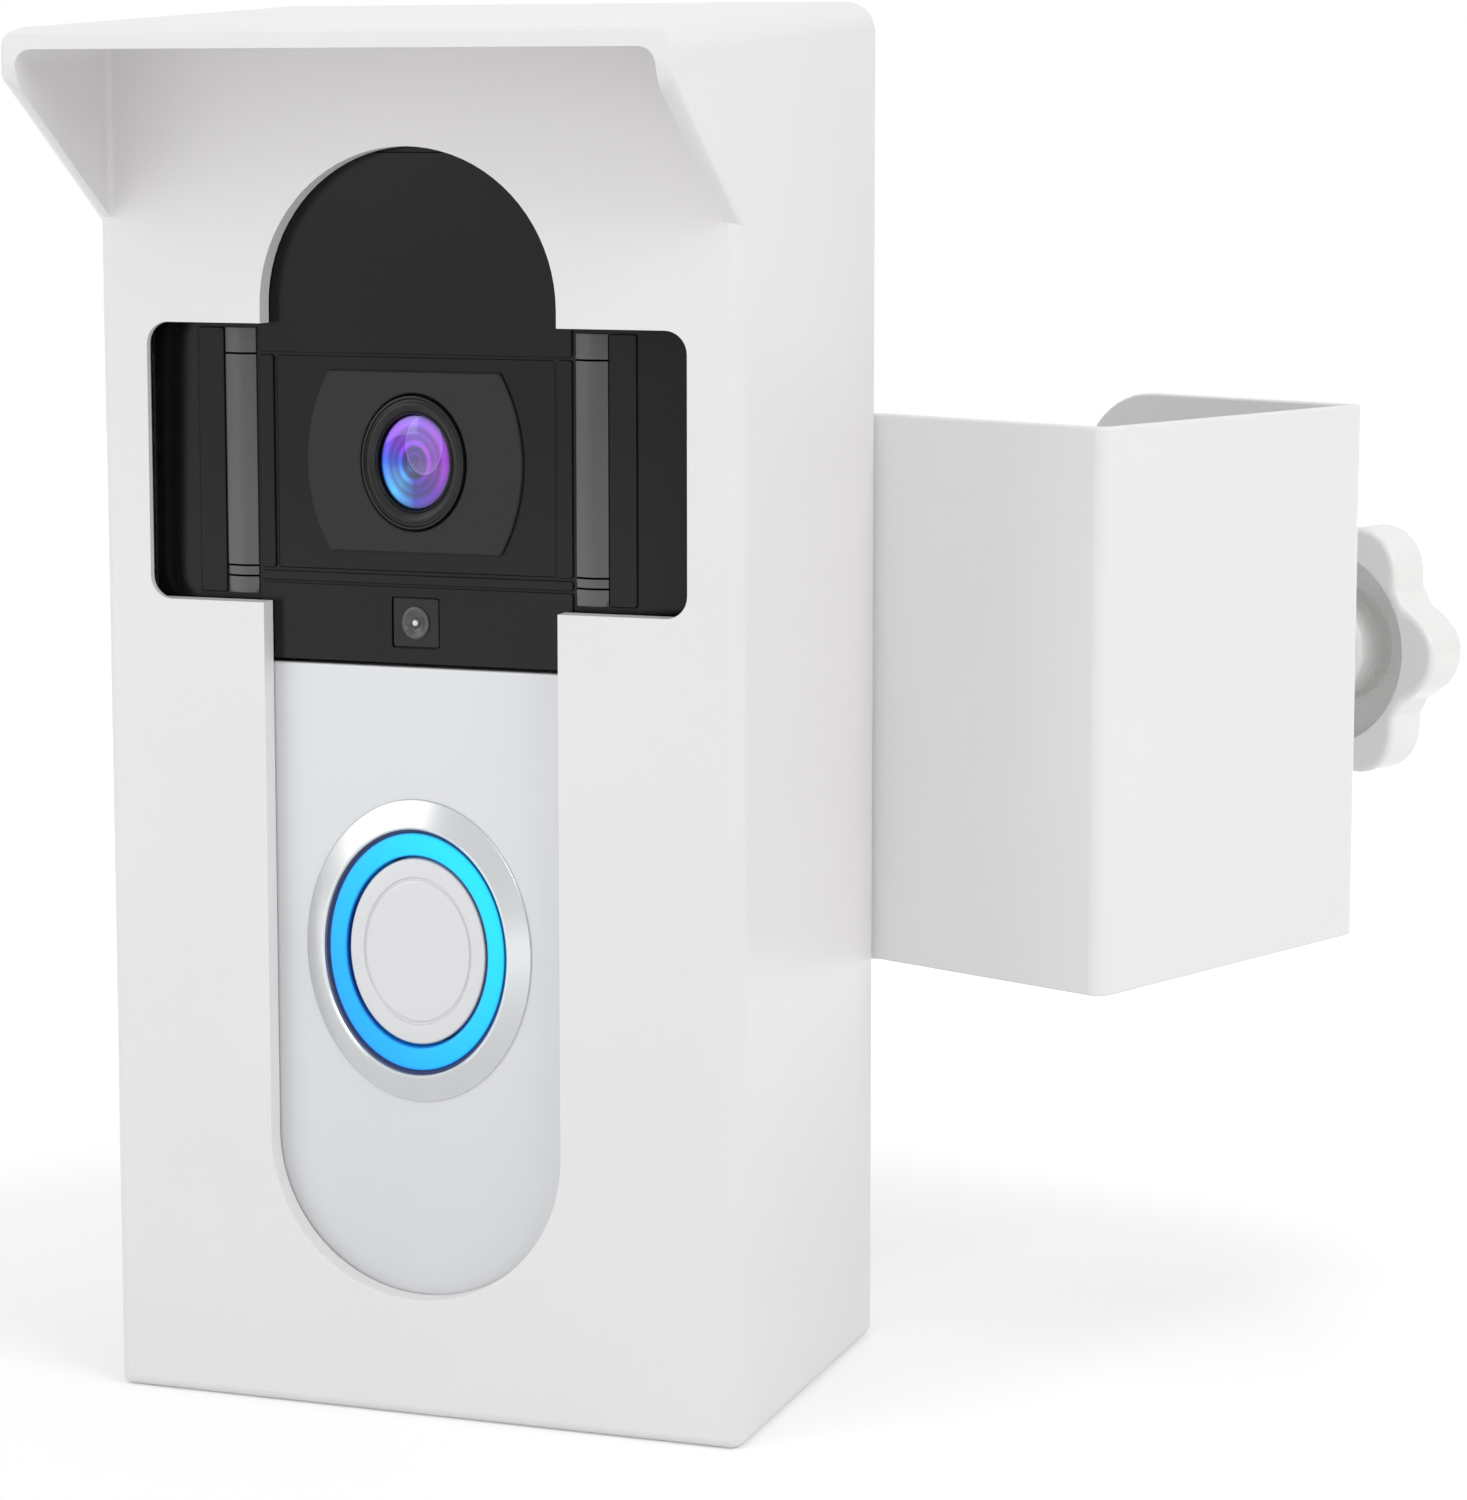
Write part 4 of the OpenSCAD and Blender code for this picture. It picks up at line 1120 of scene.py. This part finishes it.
def screw():
    """A rod with a helical thread, a plain neck and a flat end."""
    y_start = low_local("clamp_screw")
    y_end = WEB_L + KNOB_GAP + KNOB_T - 3 * MM
    neck_end = y_start + 2.3 * MM
    around, per_pitch = 40, 8
    depth = 0.35 * MM
    count = int((y_end - neck_end) / PITCH * per_pitch)
    bm = bmesh.new()
    rings = [[bm.verts.new((clamp_x + 2 * MM * math.cos(2 * math.pi * i / around), y,
                            CLAMP_Z + 2 * MM * math.sin(2 * math.pi * i / around)))
              for i in range(around)] for y in (y_start, neck_end)]
    for k in range(count + 1):
        y = neck_end + (y_end - neck_end) * k / count
        ring = []
        for i in range(around):
            turn = i / around
            phase = (y / PITCH - turn) % 1.0
            wave = abs(2 * phase - 1)
            fade = min(1.0, k / (1.5 * per_pitch))
            r = SCREW_R - 0.02 * MM - depth * wave * fade - 0.4 * MM * (1 - fade)
            a = 2 * math.pi * turn
            ring.append(bm.verts.new((clamp_x + r * math.cos(a), y, CLAMP_Z + r * math.sin(a))))
        rings.append(ring)
    for a, b in zip(rings, rings[1:]):
        for i in range(around):
            j = (i + 1) % around
            bm.faces.new((a[i], b[i], b[j], a[j]))
    bm.faces.new(rings[0])
    bm.faces.new(rings[-1])
    obj = place_local(to_object("threaded_screw", bm, zinc(), 50))
    ride(obj, "knob", "steel", "clamp_screw")


def low_local(node):
    """Lowest place of a node along the bracket's own web direction."""
    inverse = to_frame.inverted()
    return min((inverse @ v.co).y for v in frame["nodes"][node].data.vertices)


def clamp_nut():
    y0, y1 = WEB_L, WEB_L + 6 * MM
    r_out, r_in = 6.5 * MM, SCREW_R + 0.05 * MM
    profile = [(r_in, y0 + 0.01 * MM), (r_out + 0.7 * MM, y0 + 0.01 * MM), (r_out + 0.25 * MM, y0 + 0.3 * MM),
               (r_out, y0 + 0.8 * MM), (r_out, y1 - 0.5 * MM), (r_out - 0.5 * MM, y1),
               (r_in + 0.4 * MM, y1), (r_in, y1 - 0.4 * MM)]
    obj = turned("weld_nut", profile, (clamp_x, CLAMP_Z), 1.0, bracket_white(), steps=64)
    ride(weighted(place_local(obj)), "root", "white_steel", "clamp_nut")


# ---------------------------------------------------------------- carried-over CAD nodes


def dress(node, material, bevel=0.0):
    obj = frame["nodes"][node]
    obj.data.materials.clear()
    obj.data.materials.append(material)
    if bevel:
        bevel_sharp(obj, bevel, 2, 50)


def dress_cad_nodes():
    steel, dark, rubber = zinc(), dark_plastic(), soft_rubber()
    foam = soft_rubber("foam", (0.045, 0.045, 0.048))
    for node in ("plate_screws", "riser_screws", "bracket_bolts", "bracket_nuts",
                 "wall_plate_screws", "security_screw", "foot_clip"):
        dress(node, steel, 0.15 * MM)
    for node in ("riser", "wall_plate", "rear_case", "battery", "camera_module",
                 "button_switch", "speaker", "pressure_foot"):
        dress(node, dark, 0.2 * MM)
    dress("case_gasket", rubber)
    dress("foot_pad", rubber, 0.2 * MM)
    dress("arm_pad", foam, 0.3 * MM)
    dress("back_plate", bracket_white(), 0.2 * MM)
    dress("circuit_board", finish_material("board_green", (0.02, 0.11, 0.05), 0.35, tint=0.2,
                                           tint_scale=400), 0.1 * MM)


# ---------------------------------------------------------------- stage


def seen_directly(owner):
    """One for rays from the camera, a mirror or glass, and nothing for light on the object."""
    path = owner.node_tree.nodes.new("ShaderNodeLightPath")
    either = maths(owner, "MAXIMUM", path.outputs["Is Camera Ray"], path.outputs["Is Glossy Ray"])
    return maths(owner, "MAXIMUM", either, path.outputs["Is Transmission Ray"])


def floor_material():
    """A white floor that keeps the object's soft shadow, with painted shade round the base from a weaker glow
    near the object.
    """
    mat, nodes, links = new_material("floor_white")
    shader = shader_of(mat)
    shader.inputs["Base Color"].default_value = (0.86, 0.86, 0.86, 1)
    shader.inputs["Roughness"].default_value = 0.9
    shader.inputs["Specular IOR Level"].default_value = 0.1
    shader.inputs["Emission Color"].default_value = (1, 1, 1, 1)
    coord = nodes.new("ShaderNodeTexCoord")
    length = nodes.new("ShaderNodeVectorMath")
    length.operation = "LENGTH"
    links.new(coord.outputs["Object"], length.inputs[0])
    # less camera-only glow near the object paints the floor darker round its base (painted shade added to the
    # real shadow); more glow far off keeps the distant floor white
    lift = nodes.new("ShaderNodeMapRange")
    lift.inputs["From Min"].default_value = 0.09
    lift.inputs["From Max"].default_value = 0.3
    lift.inputs["To Min"].default_value = 0.2
    lift.inputs["To Max"].default_value = 0.8
    links.new(length.outputs["Value"], lift.inputs["Value"])
    strength = maths(mat, "MULTIPLY", lift.outputs["Result"], seen_directly(mat))
    links.new(strength, shader.inputs["Emission Strength"])
    return mat


def stage():
    half, far = 1.2, 1.2
    bm = bmesh.new()
    corners = [(-half, -half, 0), (half, -half, 0), (half, far, 0), (-half, far, 0)]
    bm.faces.new([bm.verts.new(c) for c in corners])
    floor = to_object("floor", bm, floor_material())


def world():
    w = bpy.data.worlds.new("studio")
    bpy.context.scene.world = w
    w.use_nodes = True
    nodes, links = w.node_tree.nodes, w.node_tree.links
    background = nodes["Background"]
    background.inputs["Color"].default_value = (1, 1, 1, 1)
    background.inputs["Strength"].default_value = 0.62
    white = nodes.new("ShaderNodeBackground")
    white.inputs["Color"].default_value = (1, 1, 1, 1)
    white.inputs["Strength"].default_value = 1.0
    mix = nodes.new("ShaderNodeMixShader")
    links.new(seen_directly(w), mix.inputs["Fac"])
    links.new(background.outputs["Background"], mix.inputs[1])
    links.new(white.outputs["Background"], mix.inputs[2])
    links.new(mix.outputs["Shader"], nodes["World Output"].inputs["Surface"])


def area_light(name, place, target, size, power):
    data = bpy.data.lights.new(name, "AREA")
    data.energy = power
    data.size = size
    obj = bpy.data.objects.new(name, data)
    bpy.context.collection.objects.link(obj)
    obj.location = place
    obj.rotation_euler = (Vector(target) - Vector(place)).to_track_quat("-Z", "Y").to_euler()
    return obj


# name, place, size in metres and power in watts
LIGHTS = [
    ("key", (0.75, -0.35, 0.55), 0.5, 2.6),
    ("fill", (-0.6, -0.7, 0.45), 0.7, 2.6),
    ("top", (0.1, 0.1, 0.9), 0.6, 1.2),
]
LIGHT_TARGET = (0, 0, 0.08)


def lights():
    for name, place, size, power in LIGHTS:
        area_light(name, place, LIGHT_TARGET, size, power)


CAMERA_PLACE = (0.17366, -0.42089, 0.13776)
CAMERA_DOWN = 7.323
CAMERA_ROUND = 19.184
CAMERA_LENS = 102.97
CAMERA_SHIFT = -0.0666


def camera():
    """Camera at the photograph's viewing angle."""
    data = bpy.data.cameras.new("camera")
    data.sensor_fit = "HORIZONTAL"
    data.sensor_width = 36
    data.lens = CAMERA_LENS
    data.shift_y = CAMERA_SHIFT
    data.clip_start = 0.01
    obj = bpy.data.objects.new("camera", data)
    bpy.context.collection.objects.link(obj)
    obj.location = CAMERA_PLACE
    obj.rotation_euler = (math.radians(90 - CAMERA_DOWN), 0, math.radians(CAMERA_ROUND))
    bpy.context.scene.camera = obj


camera()
world()
lights()
stage()
housing()
front_cover()
infrared_windows()
camera_surround()
lens()
sensor()
faceplate()
button()
bracket()
knob()
screw()
clamp_nut()
dress_cad_nodes()

bpy.context.scene.view_settings.view_transform = "Standard"
